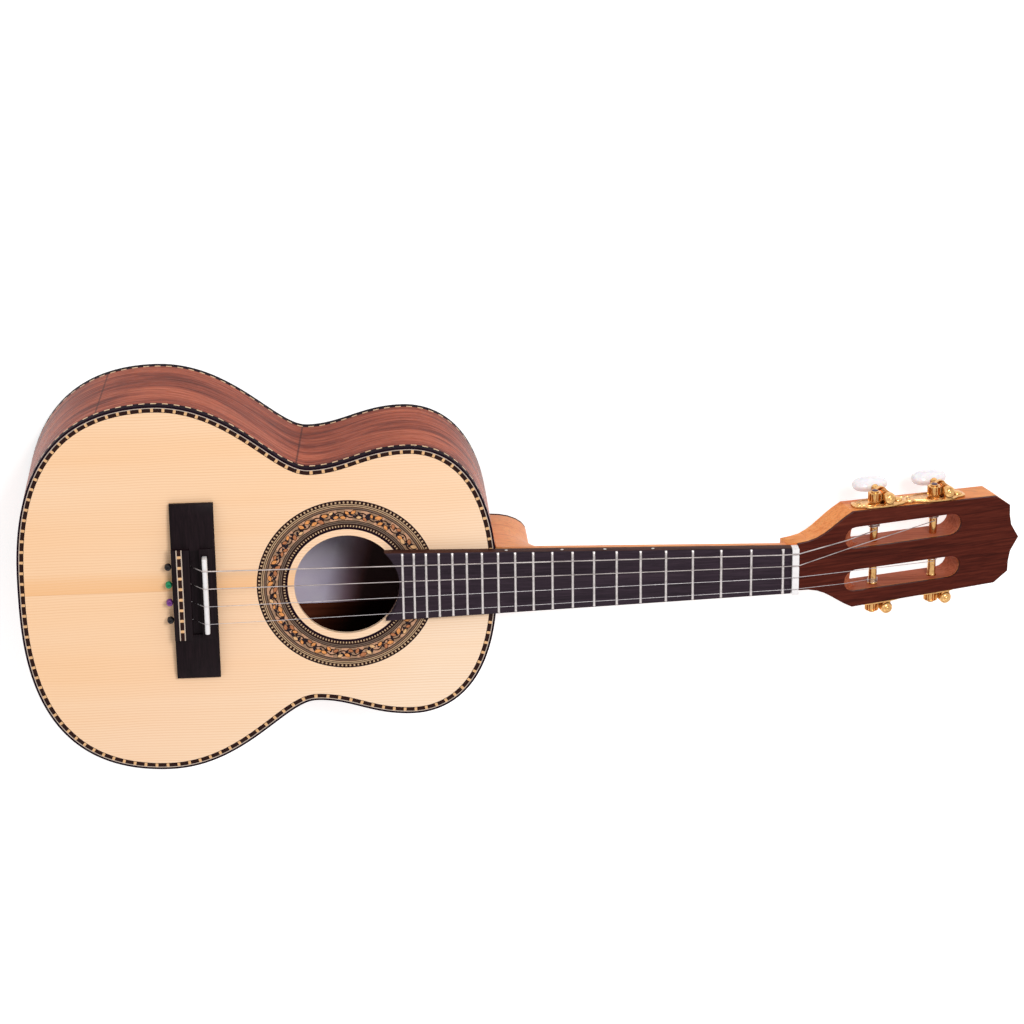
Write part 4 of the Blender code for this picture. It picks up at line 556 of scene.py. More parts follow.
def box_mesh(name, low, high, bevel=0.0, matrix=None):
    form = bmesh.new()
    bmesh.ops.create_cube(form, size=1)
    bmesh.ops.scale(form, vec=Vector(high) - Vector(low), verts=form.verts)
    bmesh.ops.translate(form, vec=(Vector(high) + Vector(low)) / 2, verts=form.verts)
    if bevel:
        soften(form, bevel)
    return from_form(form, name, matrix)


def joined(name, *groups):
    """Lists of meshes in one mesh, with a material index for each list."""
    form = bmesh.new()
    for index, meshes in enumerate(groups):
        before = len(form.faces)
        for mesh in meshes:
            form.from_mesh(mesh)
            bpy.data.meshes.remove(mesh)
        form.faces.ensure_lookup_table()
        for face in form.faces[before:]:
            face.material_index = index
    mesh = bpy.data.meshes.new(name)
    form.to_mesh(mesh)
    form.free()
    return mesh


def refined(node, look, name=None, bevel=0.0, segments=2, angle=35):
    """A welded copy of a solid, smooth and with softened edges where asked. It stands for the node."""
    source = frame["nodes"][node]
    form = form_of(source.data.copy())
    bmesh.ops.remove_doubles(form, verts=form.verts, dist=2e-6)
    bmesh.ops.dissolve_limit(form, angle_limit=radians(0.3), verts=form.verts, edges=form.edges)
    if bevel:
        soften(form, bevel, segments, radians(40), clamp=True)
    name = name or node + "_finish"
    return place(name, from_form(form, name), look, node, source["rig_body"], angle)


# Body outline


def bezier(start, near, far, end, count):
    points = []
    for i in range(count):
        t = i / count
        weights = ((1 - t) ** 3, 3 * t * (1 - t) ** 2, 3 * t * t * (1 - t), t**3)
        points.append(tuple(sum(w * p[k] for w, p in zip(weights, (start, near, far, end))) for k in (0, 1)))
    return points


def body_outline(steps):
    """The whole outline, starting at the middle of the tail and running up the bass side."""
    tail, lower, waist, upper = (-0.1131, 0), (-0.0293, 0.1154), (0.0600, 0.0738), (0.1179, 0.0848)
    half = []
    for start, near, far, end, count in (
        (tail, (tail[0], 0.0337), (lower[0] - 0.0830, lower[1]), lower, 2 * steps),
        (lower, (lower[0] + 0.0454, lower[1]), (waist[0] - 0.0185, waist[1]), waist, steps),
        (waist, (waist[0] + 0.0211, waist[1]), (upper[0] - 0.0253, upper[1]), upper, steps),
        (upper, (upper[0] + 0.0140, upper[1]), (FRONT_X, 0.0780), (FRONT_X, 0), 2 * steps),
    ):
        half += bezier(start, near, far, end, count)
    half.append((FRONT_X, 0))
    return half + [(x, -y) for x, y in reversed(half[1:-1])]


def even_stations(loop, count):
    """Points evenly spaced round a closed loop, with the inward normal at each, and the loop's length."""
    lengths = [0.0]
    for here, after in zip(loop, loop[1:] + loop[:1]):
        lengths.append(lengths[-1] + dist(here, after))
    places, k = [], 0
    for i in range(count):
        wanted = lengths[-1] * i / count
        while lengths[k + 1] < wanted:
            k += 1
        share = (wanted - lengths[k]) / (lengths[k + 1] - lengths[k])
        a, b = loop[k], loop[(k + 1) % len(loop)]
        places.append(Vector((a[0] + (b[0] - a[0]) * share, a[1] + (b[1] - a[1]) * share)))
    stations = []
    for i, here in enumerate(places):
        way = (places[(i + 1) % count] - places[i - 1]).normalized()
        stations.append((here, Vector((way.y, -way.x))))
    return stations, lengths[-1]


OUTLINE = body_outline(30)
DASH_PITCH = 0.0068
PER_DASH = 4
_, AROUND = even_stations(OUTLINE, 8)
STATIONS, _ = even_stations(OUTLINE, round(AROUND / DASH_PITCH) * PER_DASH)


def offset_loop(distance):
    return [tuple(here + inward * distance) for here, inward in STATIONS]


def even(station):
    return 0


def dash(station):
    """Dark dashes with a narrow pale gap."""
    return int(station % PER_DASH == 0)


def rope(station):
    return station // 2 % 2


def band(name, depths, heights, looks, node=None, pattern=even, span=None, inner_mark=0):
    """A strip round the body, or over a span of stations, between two depths in from the outline."""
    outer, inner = depths
    bottom, top = heights
    picks = range(span[0], span[1] + 1) if span else range(len(STATIONS))
    sections, marks = [], []
    for pick in picks:
        here, inward = STATIONS[pick % len(STATIONS)]
        a, b = here + inward * outer, here + inward * inner
        sections.append(((*a, bottom), (*a, top), (*b, top), (*b, bottom)))
        mark = pattern(pick)
        marks += [mark, mark, inner_mark or mark, mark]
    place(name, raw_mesh(name, *skin(sections, loop=not span), marks), looks, node, angle=40)


# Body

PLATE = 0.0025
WALL = 0.0020
FACE_BORDER = 0.0041
BINDING_WIDTH, BINDING_SIDE = 0.0012, 0.0036
WHITE_WIDTH = 0.00045
DASH_WIDTH = 0.00215
INLAY_DEPTH = 0.0012
ROPE_HEIGHT = 0.0016
GRAFT_STATIONS, NECK_STATIONS = 4, 6


def make_shell():
    top = BODY_DEPTH
    hole = [(HOLE_X + x, y) for x, y in circle(HOLE_RADIUS, 96)]
    face = flat_mesh("soundboard_face", [offset_loop(FACE_BORDER), hole], top - PLATE, top)
    # The hole's upright wall on the neck side, under the board, takes the board's dark edge look as painted
    # shade on the spruce.
    for polygon in face.polygons:
        x, y = polygon.center.x - HOLE_X, polygon.center.y
        upright = abs(polygon.normal.z) < 0.5
        if upright and hypot(x, y) < HOLE_RADIUS + 0.001 and x > 0.77 * HOLE_RADIUS:
            polygon.material_index = 1
    place("soundboard_face", face, "spruce board_side", "soundboard")
    back = flat_mesh("back_plate", [offset_loop(BINDING_WIDTH)], 0, PLATE)
    for polygon in back.polygons:
        polygon.material_index = int(polygon.normal.z > 0.5)
    place("back_plate", back, "back inner_back", "back")
    count = len(STATIONS)
    half = count // 2
    low, high = BINDING_SIDE + ROPE_HEIGHT, top - BINDING_SIDE - ROPE_HEIGHT
    bass, treble = (GRAFT_STATIONS, half - NECK_STATIONS), (half + NECK_STATIONS, count - GRAFT_STATIONS)
    for side, span in (("bass", bass), ("treble", treble)):
        wall = f"side_wall_{side}"
        band(wall, (0, WALL), (low, high), "side inner_side", f"side_{side}", span=span, inner_mark=1)
    graft = (count - GRAFT_STATIONS, count + GRAFT_STATIONS)
    band("end_graft_strip", (0, WALL), (low, high), "black", "end_graft", span=graft)
    rim = top - BINDING_SIDE
    band("binding_top", (0, BINDING_WIDTH), (rim, top), "black", "top_binding")
    band("binding_back", (0, BINDING_WIDTH), (0, BINDING_SIDE), "black", "back_binding")
    band("rope_line_top", (0, WALL), (high, rim), "cream black", pattern=rope)
    band("rope_line_back", (0, WALL), (BINDING_SIDE, low), "cream black", pattern=rope)
    inner = BINDING_WIDTH + WHITE_WIDTH
    inlay = (top - INLAY_DEPTH, top)
    band("white_line", (BINDING_WIDTH, inner), (rim, top), "white")
    band("dash_border", (inner, inner + DASH_WIDTH), inlay, "dark amber", "top_purfling", dash)
    band("inner_line", (inner + DASH_WIDTH, FACE_BORDER), inlay, "black")


# Rosette

MARQUETRY_DEPTH = 0.0009
INLAY_STEP = 0.00002
ROSETTE_TOP = BODY_DEPTH + INLAY_STEP


def checker(cell):
    return int(cell % 5 < 2)


def field(cell):
    return cell // 4 % 2


# Each ring's radii, its looks and, where it isn't plain, its cells and their pattern
ROSETTE_RINGS = (
    ("edge_outer", 0.0527, 0.0533, "black"),
    ("check_outer", 0.0513, 0.0525, "dark straw", 680, checker),
    ("line_0", 0.0525, 0.0527, "dark"),
    ("line_1", 0.0508, 0.0513, "dark"),
    ("line_2", 0.0503, 0.0508, "straw"),
    ("line_3", 0.0498, 0.0503, "dark"),
    ("line_4", 0.0493, 0.0498, "straw"),
    ("line_5", 0.0488, 0.0493, "brown"),
    ("line_6", 0.0480, 0.0488, "grey"),
    ("line_7", 0.0475, 0.0480, "dark"),
    ("line_8", 0.0403, 0.0408, "dark"),
    ("line_9", 0.0397, 0.0403, "grey"),
    ("line_10", 0.0393, 0.0397, "dark"),
    ("line_11", 0.0387, 0.0393, "grey"),
    ("line_12", 0.0380, 0.0387, "dark"),
    ("check_inner", 0.0366, 0.0377, "dark straw", 660, checker),
    ("line_13", 0.0377, 0.0380, "dark"),
    ("edge_inner", 0.0351, 0.0366, "black"),
    ("field", 0.0408, 0.0475, "tan olive", 240, field),
)


def polar(radius, angle, height):
    x, y = at_angle(radius, angle)
    return (HOLE_X + x, y, height)


def make_ring(name, inner, outer, looks, cells=192, pattern=even):
    """A flat ring cut into equal cells, each with its own material index."""
    top, floor = ROSETTE_TOP, BODY_DEPTH - MARQUETRY_DEPTH
    corners = ((outer, floor), (outer, top), (inner, top), (inner, floor))
    angles = [2 * pi * i / cells for i in range(cells)]
    sections = [[polar(radius, angle, height) for radius, height in corners] for angle in angles]
    marks = [pattern(i) for i in range(cells) for _ in corners]
    mesh = raw_mesh(name, *skin(sections, loop=True), marks)
    place(f"rosette_{name}", mesh, looks, "rosette" if name == "field" else None, angle=40)


def make_rosette():
    """From outside in: an edge, a checker, lines, the vine in its field, lines, a checker and an edge."""
    for ring in ROSETTE_RINGS:
        make_ring(*ring)
    make_vine(ROSETTE_TOP + INLAY_STEP)


LEAF = ((-1, 0), (-0.6, 0.62), (0, 1), (0.55, 0.66), (1, 0), (0.55, -0.66), (0, -1), (-0.6, -0.62))
LEAF_DEPTH = 0.0003
VINE_PERIODS, VINE_MIDDLE, VINE_SWING, VINE_STEM = 20, 0.04415, 0.0017, 0.0008
STEM_SAMPLES = 16
LEAF_BORDER = (0.0008, 0.0007)
# Share of a period, rise from the middle, length, width and heading of the leaves in each bend
DARK_LEAVES = (
    (-0.24, 0.9, 0.0042, 0.0020, 0.7),
    (0.22, 0.9, 0.0042, 0.0020, -0.7),
    (0.02, -0.5, 0.0034, 0.0019, 1.3),
)
WARM_LEAVES = ((-0.13, 1.0, 0.0038, 0.0022, 0.5), (0.14, 0.7, 0.0036, 0.0021, -0.6))
# Leaves, side of the bend, reach of the rise, spread of the places, least and greatest size, and looks
LEAF_KINDS = (
    (DARK_LEAVES, 1, 0.0012, 0.08, (0.7, 1.15), ()),
    (WARM_LEAVES, -1, 0.0017, 0.06, (0.75, 1.2), ("orange", "orange", "amber", "rust", "rust")),
)


def patch(sheet, radius, angle, length, width, heading, height):
    """A pointed oval added to a sheet of points and faces, turned by a heading from the ring's direction."""
    middle = Vector(polar(radius, angle, 0)[:2])
    along = Vector((-sin(angle + heading), cos(angle + heading)))
    across = Vector((-along.y, along.x))
    outline = [middle + along * (t * length / 2) + across * (w * width / 2) for t, w in LEAF]
    points, faces = skin([[(*where, z) for where in outline] for z in (height, height - LEAF_DEPTH)])
    start = len(sheet[0])
    sheet[0].extend(points)
    sheet[1].extend(tuple(start + corner for corner in face) for face in faces)


def make_stems(height):
    """Two stems that wind round the ring and cross."""
    points, faces = [], []
    samples = VINE_PERIODS * STEM_SAMPLES
    for phase, lift in ((0, 0), (pi, 0.000005)):
        first = len(points)
        for i in range(samples):
            angle = 2 * pi * i / samples
            radius = VINE_MIDDLE + VINE_SWING * sin(VINE_PERIODS * angle + phase)
            points += [polar(radius + half, angle, height + lift) for half in (VINE_STEM / 2, -VINE_STEM / 2)]
            a, b = first + 2 * i, first + 2 * ((i + 1) % samples)
            faces.append((a, a + 1, b + 1, b))
    place("rosette_stem", raw_mesh("rosette_stem", points, faces), "dark")


def make_vine(height):
    """The stems, with dark leaves along them and warm ones in the bends."""
    make_stems(height)
    sheets = {look: ([], []) for look in ("dark", "orange", "amber", "rust", "ink")}
    period = 2 * pi / VINE_PERIODS
    chance = random.Random(7)
    for i in range(2 * VINE_PERIODS):
        start = (i + 0.5) * period / 2
        bend = 1 if i % 2 == 0 else -1
        for leaves, way, reach, spread, sizes, looks in LEAF_KINDS:
            side = bend * way
            for share, rise, length, width, heading in leaves:
                angle = start + (share + chance.uniform(-spread, spread)) * period
                size = chance.uniform(*sizes)
                turn = side * heading + chance.uniform(-0.5, 0.5)
                look = chance.choice(looks) if looks else "ink"
                where = (VINE_MIDDLE + side * rise * reach, angle)
                length, width = length * size, width * size
                if looks:
                    bordered = (length + LEAF_BORDER[0], width + LEAF_BORDER[1])
                    patch(sheets["dark"], *where, *bordered, turn, height + INLAY_STEP / 2)
                level = INLAY_STEP if looks else INLAY_STEP / 2
                patch(sheets[look], *where, length, width, turn, height + level)
    names = {"dark": "leaf_lines", "orange": "orange_leaves", "amber": "amber_leaves", "rust": "rust_leaves"}
    for look, name in (names | {"ink": "dark_leaves"}).items():
        place(f"rosette_{name}", raw_mesh(f"rosette_{name}", *sheets[look]), look)


# Fingerboard, frets and nut

SIDE_DOTS = (5, 7, 9, 12)
ZERO_FRET_RISE = 0.0012


def fret(number):
    """A half-round bar across the board with sloping ends. Number 0 is the taller zero fret."""
    x = fret_x(number)
    width, height = (0.00085, 0.0010) if number else (0.0010, 0.0014)
    reach, base = board_half(x) - 0.0003, board_top(x) - 0.0002
    arc = [(width * cos(a), height * sin(a)) for a in (pi * i / 8 for i in range(9))]
    ends = [(-reach, 0.05), (-reach + 0.0008, 0.85), (-reach + 0.0016, 1)]
    ends += [(-y, size) for y, size in reversed(ends)]
    sections = [[(x + u, y, base + v * size) for u, v in arc] for y, size in ends]
    return raw_mesh(f"fret_{number}", *skin(sections))


def make_board():
    """The board's end follows the sound hole, and its underside rests on the neck and then on the body."""
    end_radius = HOLE_RADIUS - 0.0001
    sweep = asin(min(0.95, board_half(HOLE_X + end_radius * 0.74) / end_radius))
    angles = (sweep - 2 * sweep * i / 24 for i in range(25))
    scoop = [polar(end_radius, angle, 0)[:2] for angle in angles]
    end = NUT_X - GAP
    form = form_of(flat_mesh("board", [[*scoop, (end, -board_half(end)), (end, board_half(end))]], 0, 1))
    everything = [*form.verts, *form.edges, *form.faces]
    bmesh.ops.bisect_plane(form, geom=everything, dist=1e-7, plane_co=(JOINT_X, 0, 0), plane_no=(1, 0, 0))
    for corner in form.verts:
        x = corner.co.x
        low = max(BODY_DEPTH, neck_top(x)) if x < JOINT_X else neck_top(x)
        corner.co.z = board_top(x) if corner.co.z > 0.5 else low + GAP
    soften(form, 0.0004, angle=0.8, chosen=lambda where: where.z > board_top(where.x) - 1e-6)
    mesh = from_form(form, "fingerboard_wood")
    for polygon in mesh.polygons:
        polygon.material_index = int(abs(polygon.normal.y) > 0.8)
    place("fingerboard_wood", mesh, "board board_side", "fingerboard")
    place("zero_fret_crown", fret(0), "fret", "zero_fret")
    place("frets", joined("frets", [fret(number) for number in range(1, FRET_COUNT + 1)]), "fret")
    dots = []
    for space in SIDE_DOTS:
        x = (fret_x(space) + fret_x(space - 1)) / 2
        turn = Matrix.Translation((x, board_half(x) - 0.0003, board_top(x) - 0.0026))
        turn @= Matrix.Rotation(-pi / 2, 4, "X")
        profile = [(0.0006, 0.00045), (0.0009, 0.00035), (0.0009, 0)]
        dots.append(turned_mesh("dot", profile, 16, turn))
    place("side_dots", joined("side_dots", dots), "dot")
    refined("nut", "bone", bevel=0.00012)


# Bridge

BRIDGE_BACK = -0.0220
TIE_LENGTH = 0.0107
TIE_FRONT = BRIDGE_BACK + TIE_LENGTH
TIE_HEIGHT, SADDLE_HEIGHT, STRING_HOLE_HEIGHT = 0.0088, 0.0128, 0.0042
INLAY_TOP = BODY_DEPTH + TIE_HEIGHT + 0.00003
INLAY_REACH = 0.0285
INLAY_LINE, INLAY_SPACING = 0.0006, 0.0029
INLAY_CELL, INLAY_PALE_CELL = 0.0050, 0.0017


def make_bridge():
    """The bridge with two pale lines on its tie block and a row of dashes between them."""
    refined("bridge", "bridge", "bridge_wood", bevel=0.0003)
    refined("saddle", "bone", bevel=0.0007, segments=3)
    back = BRIDGE_BACK + INLAY_SPACING
    front = back + INLAY_SPACING
    low = INLAY_TOP - MARQUETRY_DEPTH
    lines = []
    for start in (back, front):
        corners = (start, -INLAY_REACH, low), (start + INLAY_LINE, INLAY_REACH, INLAY_TOP)
        lines.append(box_mesh("line", *corners))
    place("inlay_lines", joined("inlay_lines", lines), "white")
    cells = ([], [])
    y, mark = -INLAY_REACH, 0
    while y < INLAY_REACH - 1e-9:
        step = min(INLAY_REACH - y, INLAY_PALE_CELL if mark else INLAY_CELL)
        high = (front, y + step, INLAY_TOP - 0.00001)
        cells[mark].append(box_mesh("cell", (back + INLAY_LINE, y, low), high))
        y += step
        mark = 1 - mark
    place("inlay_dashes", joined("inlay_dashes", *cells), "dark amber", "bridge_inlay")


# Strings

TAIL_SPACING, NUT_SPACING = 0.0112, 0.00745
SADDLE_X, SADDLE_CROWN = -0.0025, 0.0015
POST_DEPTH = 0.0089
POST_BARREL = 0.0025
NEAR_POST, POST_SPACING = 0.0535, 0.0395
SLOT_NEAR_X, SLOT_FAR_X, SLOT_CENTRE, SLOT_HALF = 0.0305, 0.1080, 0.0137, 0.0070
SLOT_OUTER, SLOT_INNER = SLOT_CENTRE + SLOT_HALF, SLOT_CENTRE - SLOT_HALF
WINDING_GAP = 0.00046
WINDING_MARGIN = 0.0008
WINDING_TURNS, WINDING_STEPS = 3, 36
BALL_SEAT = 0.0019
BALLS = {4: "ball_black", 3: "ball_green", 2: "ball_purple", 1: "ball_black"}
BALL_HALF = ((0.0006, 0.0008), (0.0007, 0.0015), (0.0010, 0.0018), (0.0016, 0.0017))
BALL_HALF += ((0.0019, 0.0013), (0.0020, 0.0009), (0.0016, 0.0003))


def string_y(where, spacing):
    return (1.5 - where) * spacing


def post_place(where):
    """The side, 1 for bass and -1 for treble, and the distance along the head of a string's post."""
    return (1 if where < 2 else -1), NEAR_POST + (POST_SPACING if where in (1, 2) else 0)


def winding_start(where, radius):
    """Where a winding begins along its post, and how far each turn moves on."""
    pitch = 2 * radius + WINDING_GAP
    reach = WINDING_MARGIN + radius + WINDING_TURNS * pitch
    return (SLOT_INNER + reach, -pitch) if where == 2 else (SLOT_OUTER - reach, pitch)


def slot_entry(start, goal, radius):
    """Where a string, seen from above, is clear of the slot's edge. It rests on the headplate until there."""
    half = SLOT_HALF - radius - GAP
    end_centre = SLOT_NEAR_X + SLOT_HALF
    steps = 400
    for i in range(steps):
        x, y = (start + (goal - start) * (i / steps))[:2]
        if hypot(min(0, x - end_centre), abs(y) - SLOT_CENTRE) < half and x > SLOT_NEAR_X:
            return Vector((x, y, radius + GAP))
    return goal


def ball_place(where):
    y = string_y(where, TAIL_SPACING)
    return Vector((BRIDGE_BACK - GAP - BALL_SEAT, y, BODY_DEPTH + STRING_HOLE_HEIGHT))


def wire_route(where, radius):
    """From the ball through the tie block, over saddle, zero fret and nut, and down to the post."""
    ball = ball_place(where)
    route = [ball, Vector((TIE_FRONT + GAP, *ball.yz))]
    crown = Vector((SADDLE_X, ball.y, BODY_DEPTH + SADDLE_HEIGHT - SADDLE_CROWN))
    for angle in (143, 134, 125, 116, 107, 98, 90):
        x, z = at_angle(SADDLE_CROWN + GAP + radius, radians(angle))
        route.append(crown + Vector((x, 0, z)))
    y = string_y(where, NUT_SPACING)
    zero = board_top(SCALE_LENGTH) + ZERO_FRET_RISE + GAP + radius
    nut_end = NUT_X + NUT_LENGTH
    for x, drop in ((SCALE_LENGTH, 0), (nut_end - 0.0006, 0.0008), (nut_end + 0.0003, 0.0010)):
        route.append(Vector((x, y, zero - drop)))
    side, post_x = post_place(where)
    start, rise = winding_start(where, radius)
    goal = Vector((post_x, side * (start - rise), POST_BARREL + GAP + radius - POST_DEPTH))
    bend = slot_entry(HEAD.inverted() @ route[-1], goal, radius)
    return [*route, HEAD @ bend, HEAD @ goal]


def winding_route(where, radius):
    """Turns round the post, in its own frame, with a short straight stretch at each end."""
    start, rise = winding_start(where, radius)
    route = []
    for i in range(WINDING_TURNS * WINDING_STEPS + 1):
        turn = i / WINDING_STEPS
        route.append(Vector((*at_angle(POST_BARREL + GAP + radius, 2 * pi * turn), start + rise * turn)))
    first_way, last_way = (route[0] - route[1]).normalized(), (route[-1] - route[-2]).normalized()
    return [route[0] + first_way * 2 * radius, *route, route[-1] + last_way * 2 * radius]


def make_string(number, where, radius):
    """The wire, its ball and the turns that go round with the post."""
    name, look = f"string_{number}", "wound" if number > 2 else "steel"
    place(f"{name}_wire", tube_mesh("wire", wire_route(where, radius), radius), look)
    profile = [*BALL_HALF, *((reach, -height) for reach, height in reversed(BALL_HALF))]
    ball = turned_mesh("ball", profile, 32, Matrix.Translation(ball_place(where)))
    place(f"{name}_ball", ball, BALLS[number], name)
    side, post_x = post_place(where)
    turns = tube_mesh("turns", winding_route(where, radius), radius, matrix=across(post_x, side, 0))
    place(f"{name}_turns", turns, look, f"winding_{number}", f"post_and_gear_{number}")


# Tuners, in the head's own frame: along the head, across it and up from its face

HEAD_BACK = 0.0178
PLATE_THICKNESS = 0.0012
PLATE_NEAR, PLATE_FAR = 0.0385, 0.1130
PLATE_LOBE, PLATE_NECK = 0.0075, 0.0050
GEAR_TEETH, GEAR_MODULE, GEAR_THICKNESS, GEAR_STANDOFF = 14, 0.00053, 0.0052, 0.0012
GEAR_TIP = GEAR_MODULE * (GEAR_TEETH / 2 + 1)
GEAR_ROOT = GEAR_MODULE * (GEAR_TEETH / 2 - 1.25)
GEAR_PITCH = pi * GEAR_MODULE
GEAR_EDGE = 0.00035
MESH_CLEARANCE = 0.00025
WORM_ROOT = 0.0022
WORM_DISTANCE = GEAR_TIP + WORM_ROOT + MESH_CLEARANCE
WORM_TIP = WORM_DISTANCE - GEAR_ROOT - MESH_CLEARANCE
WORM_TURNS, WORM_STEPS = 3.6, 20
THREAD_FOOT = WORM_ROOT - 0.0004
SHAFT = 0.0013
EAR_START, EAR_RIM, EAR_RADIUS, EAR_HEIGHT, EAR_SKIRT = GEAR_TIP + 0.0005, 0.0010, 0.0037, 0.0026, 0.0021
FOOT_HALF = 0.0026
BUTTON = Vector((0.0220, 0.0095, 0.0135))
BUTTON_TOP = -(HEAD_BACK - POST_DEPTH) - 0.0060
BUTTON_BORE = 0.0060
BOSS_OFFSET, BOSS_RADIUS = 0.0150, 0.0030
HEAD_NEAR, HEAD_FAR, HEAD_HALF_NEAR, HEAD_HALF_FAR = 0.0360, 0.1311, 0.0305, 0.0281
HEAD_TAPER = atan2(HEAD_HALF_NEAR - HEAD_HALF_FAR, HEAD_FAR - HEAD_NEAR)


def head_side(x):
    return HEAD_HALF_NEAR - (x - HEAD_NEAR) * tan(HEAD_TAPER)


def plate_outer(x):
    return head_side(x) + GAP / cos(HEAD_TAPER) + PLATE_THICKNESS


def across(x, side, out):
    """A frame at the posts' depth whose Z points out of the head's side."""
    middle = Matrix.Translation((x, side * out, -POST_DEPTH))
    return HEAD @ middle @ Matrix.Rotation(-side * pi / 2, 4, "X")


def make_post(number, side, x):
    gear_in = plate_outer(x) + GEAR_STANDOFF
    cap = gear_in + GEAR_THICKNESS + GAP
    profile = [(0.0021, cap + 0.0008), (0.0024, cap + 0.0006), (0.0024, cap), (0.0016, cap)]
    profile += [(0.0016, gear_in - GAP), (0.0027, gear_in - GAP), (0.0029, gear_in - 2 * GAP)]
    profile += [(0.0029, SLOT_OUTER - GAP), (0.0026, SLOT_OUTER - 2 * GAP)]
    profile += [(POST_BARREL, SLOT_OUTER - WINDING_MARGIN), (POST_BARREL, SLOT_CENTRE)]
    profile += [(0.00235, SLOT_INNER + 0.0026), (0.0022, SLOT_INNER + 0.0004)]
    profile += [(0.0022, SLOT_INNER), (0.0020, SLOT_INNER), (0.0020, SLOT_INNER - 0.0037)]
    profile += [(0.0017, SLOT_INNER - 0.0040)]
    matrix = across(x, side, 0)
    body, name = f"post_and_gear_{number}", f"tuning_post_{number}"
    place(f"{name}_turned", turned_mesh(name, profile, 40, matrix), "gold", name, body, 30)
    screw = [(0.0009, cap + 0.0013), (0.0016, cap + 0.00115), (0.0020, cap + 0.0008), (0.0020, cap + 0.0004)]
    place(f"gear_screw_{number}", turned_mesh("screw", screw, 32, matrix), "dark_metal", None, body, 50)


def make_gear(number, side, x):
    """Straight-sided teeth, softened at both ends, with a smooth rim at the outer one."""
    gear_in = plate_outer(x) + GEAR_STANDOFF
    out = gear_in + GEAR_THICKNESS
    step = 2 * pi / GEAR_TEETH
    tooth = ((GEAR_ROOT, -0.27), (GEAR_TIP, -0.15), (GEAR_TIP, 0.15), (GEAR_ROOT, 0.27))
    outline = [(radius, (i + 0.5 + share) * step) for i in range(GEAR_TEETH) for radius, share in tooth]
    sections = []
    thick, rounded = GEAR_THICKNESS, 0.0003
    for rise, inset in ((0, GEAR_EDGE), (rounded, 0), (thick - rounded, 0), (thick, GEAR_EDGE)):
        inside = [(min(radius, GEAR_TIP - inset), angle) for radius, angle in outline]
        sections.append([(*at_angle(radius, angle), gear_in + rise) for radius, angle in inside])
    matrix = across(x, side, 0)
    teeth = raw_mesh("teeth", *skin(sections), matrix=matrix)
    rim = [(0.0030, out + 0.0002), (0.0035, out + 0.00015), (0.0037, out - 0.0001), (0.0037, out - 0.0004)]
    mesh = joined("gear", [teeth, turned_mesh("rim", rim, 40, matrix)])
    place(f"gear_{number}_cut", mesh, "gold", f"gear_{number}", f"post_and_gear_{number}", 30)


def worm_frame(side, x):
    """A frame on the worm's axis, level with the gear's, and how far out it lies."""
    out = plate_outer(x + WORM_DISTANCE) + GEAR_STANDOFF + GEAR_THICKNESS / 2
    return HEAD @ Matrix.Translation((x + WORM_DISTANCE, side * out, -POST_DEPTH)), out


def make_worm(number, side, x):
    """A shaft with one long thread and a bead where it enters the button."""
    matrix, _ = worm_frame(side, x)
    root = WORM_TURNS * GEAR_PITCH / 2 + GEAR_PITCH / 4
    front = EAR_START + EAR_RIM + EAR_RADIUS + 0.0001
    bead = BUTTON_TOP + GAP
    profile = [(SHAFT * 0.7, front), (SHAFT, front - 0.0003), (SHAFT, root), (WORM_ROOT, root)]
    profile += [(WORM_ROOT, -root), (SHAFT, -root), (SHAFT, bead + 0.0026), (0.0017, bead + 0.0022)]
    profile += [(0.0018, bead + 0.0014), (0.0022, bead + 0.0009), (0.0023, bead + 0.0004), (0.0021, bead)]
    profile += [(SHAFT, bead), (SHAFT, BUTTON_TOP - BUTTON_BORE)]
    count = int(WORM_TURNS * WORM_STEPS)
    ridge = ((THREAD_FOOT, -0.24), (WORM_TIP, -0.09), (WORM_TIP, 0.09), (THREAD_FOOT, 0.24))
    sections = []
    for i in range(count + 1):
        turn = (i - count / 2) / WORM_STEPS
        angle = pi + 2 * pi * turn
        sections.append([(*at_angle(radius, angle), (turn + share) * GEAR_PITCH) for radius, share in ridge])
    thread = raw_mesh("thread", *skin(sections), matrix=matrix)
    mesh = joined("worm", [turned_mesh("shaft", profile, 32, matrix), thread])
    place(f"worm_{number}_cut", mesh, "gold", f"worm_{number}", f"button_shaft_{number}", 40)


def make_button(number, side, x):
    matrix, _ = worm_frame(side, x)
    form = bmesh.new()
    bmesh.ops.create_uvsphere(form, u_segments=48, v_segments=24, radius=1)
    for corner in form.verts:
        u, v, w = corner.co
        fuller = 1 + 0.10 * (u * u * w * w + u * u * v * v) * 4
        corner.co = (u * fuller * BUTTON.x / 2, v * BUTTON.y / 2, w * fuller * BUTTON.z / 2)
    bmesh.ops.translate(form, vec=(0, 0, BUTTON_TOP - BUTTON.z / 2), verts=form.verts)
    mesh = from_form(form, "button", matrix)
    place(f"button_{number}_pearl", mesh, "pearl", f"button_{number}", f"button_shaft_{number}", 80)


def smooth_path(points, steps):
    """A Catmull-Rom curve through the points."""
    path = []
    for i in range(len(points) - 1):
        a, b, c, d = (Vector(points[max(0, min(len(points) - 1, i + k))]) for k in (-1, 0, 1, 2))
        for t in (j / steps for j in range(steps)):
            square, cube = (2 * a - 5 * b + 4 * c - d) * t * t, (3 * b - a - 3 * c + d) * t**3
            path.append(0.5 * (2 * b + (c - a) * t + square + cube))
    path.append(Vector(points[-1]))
    return path


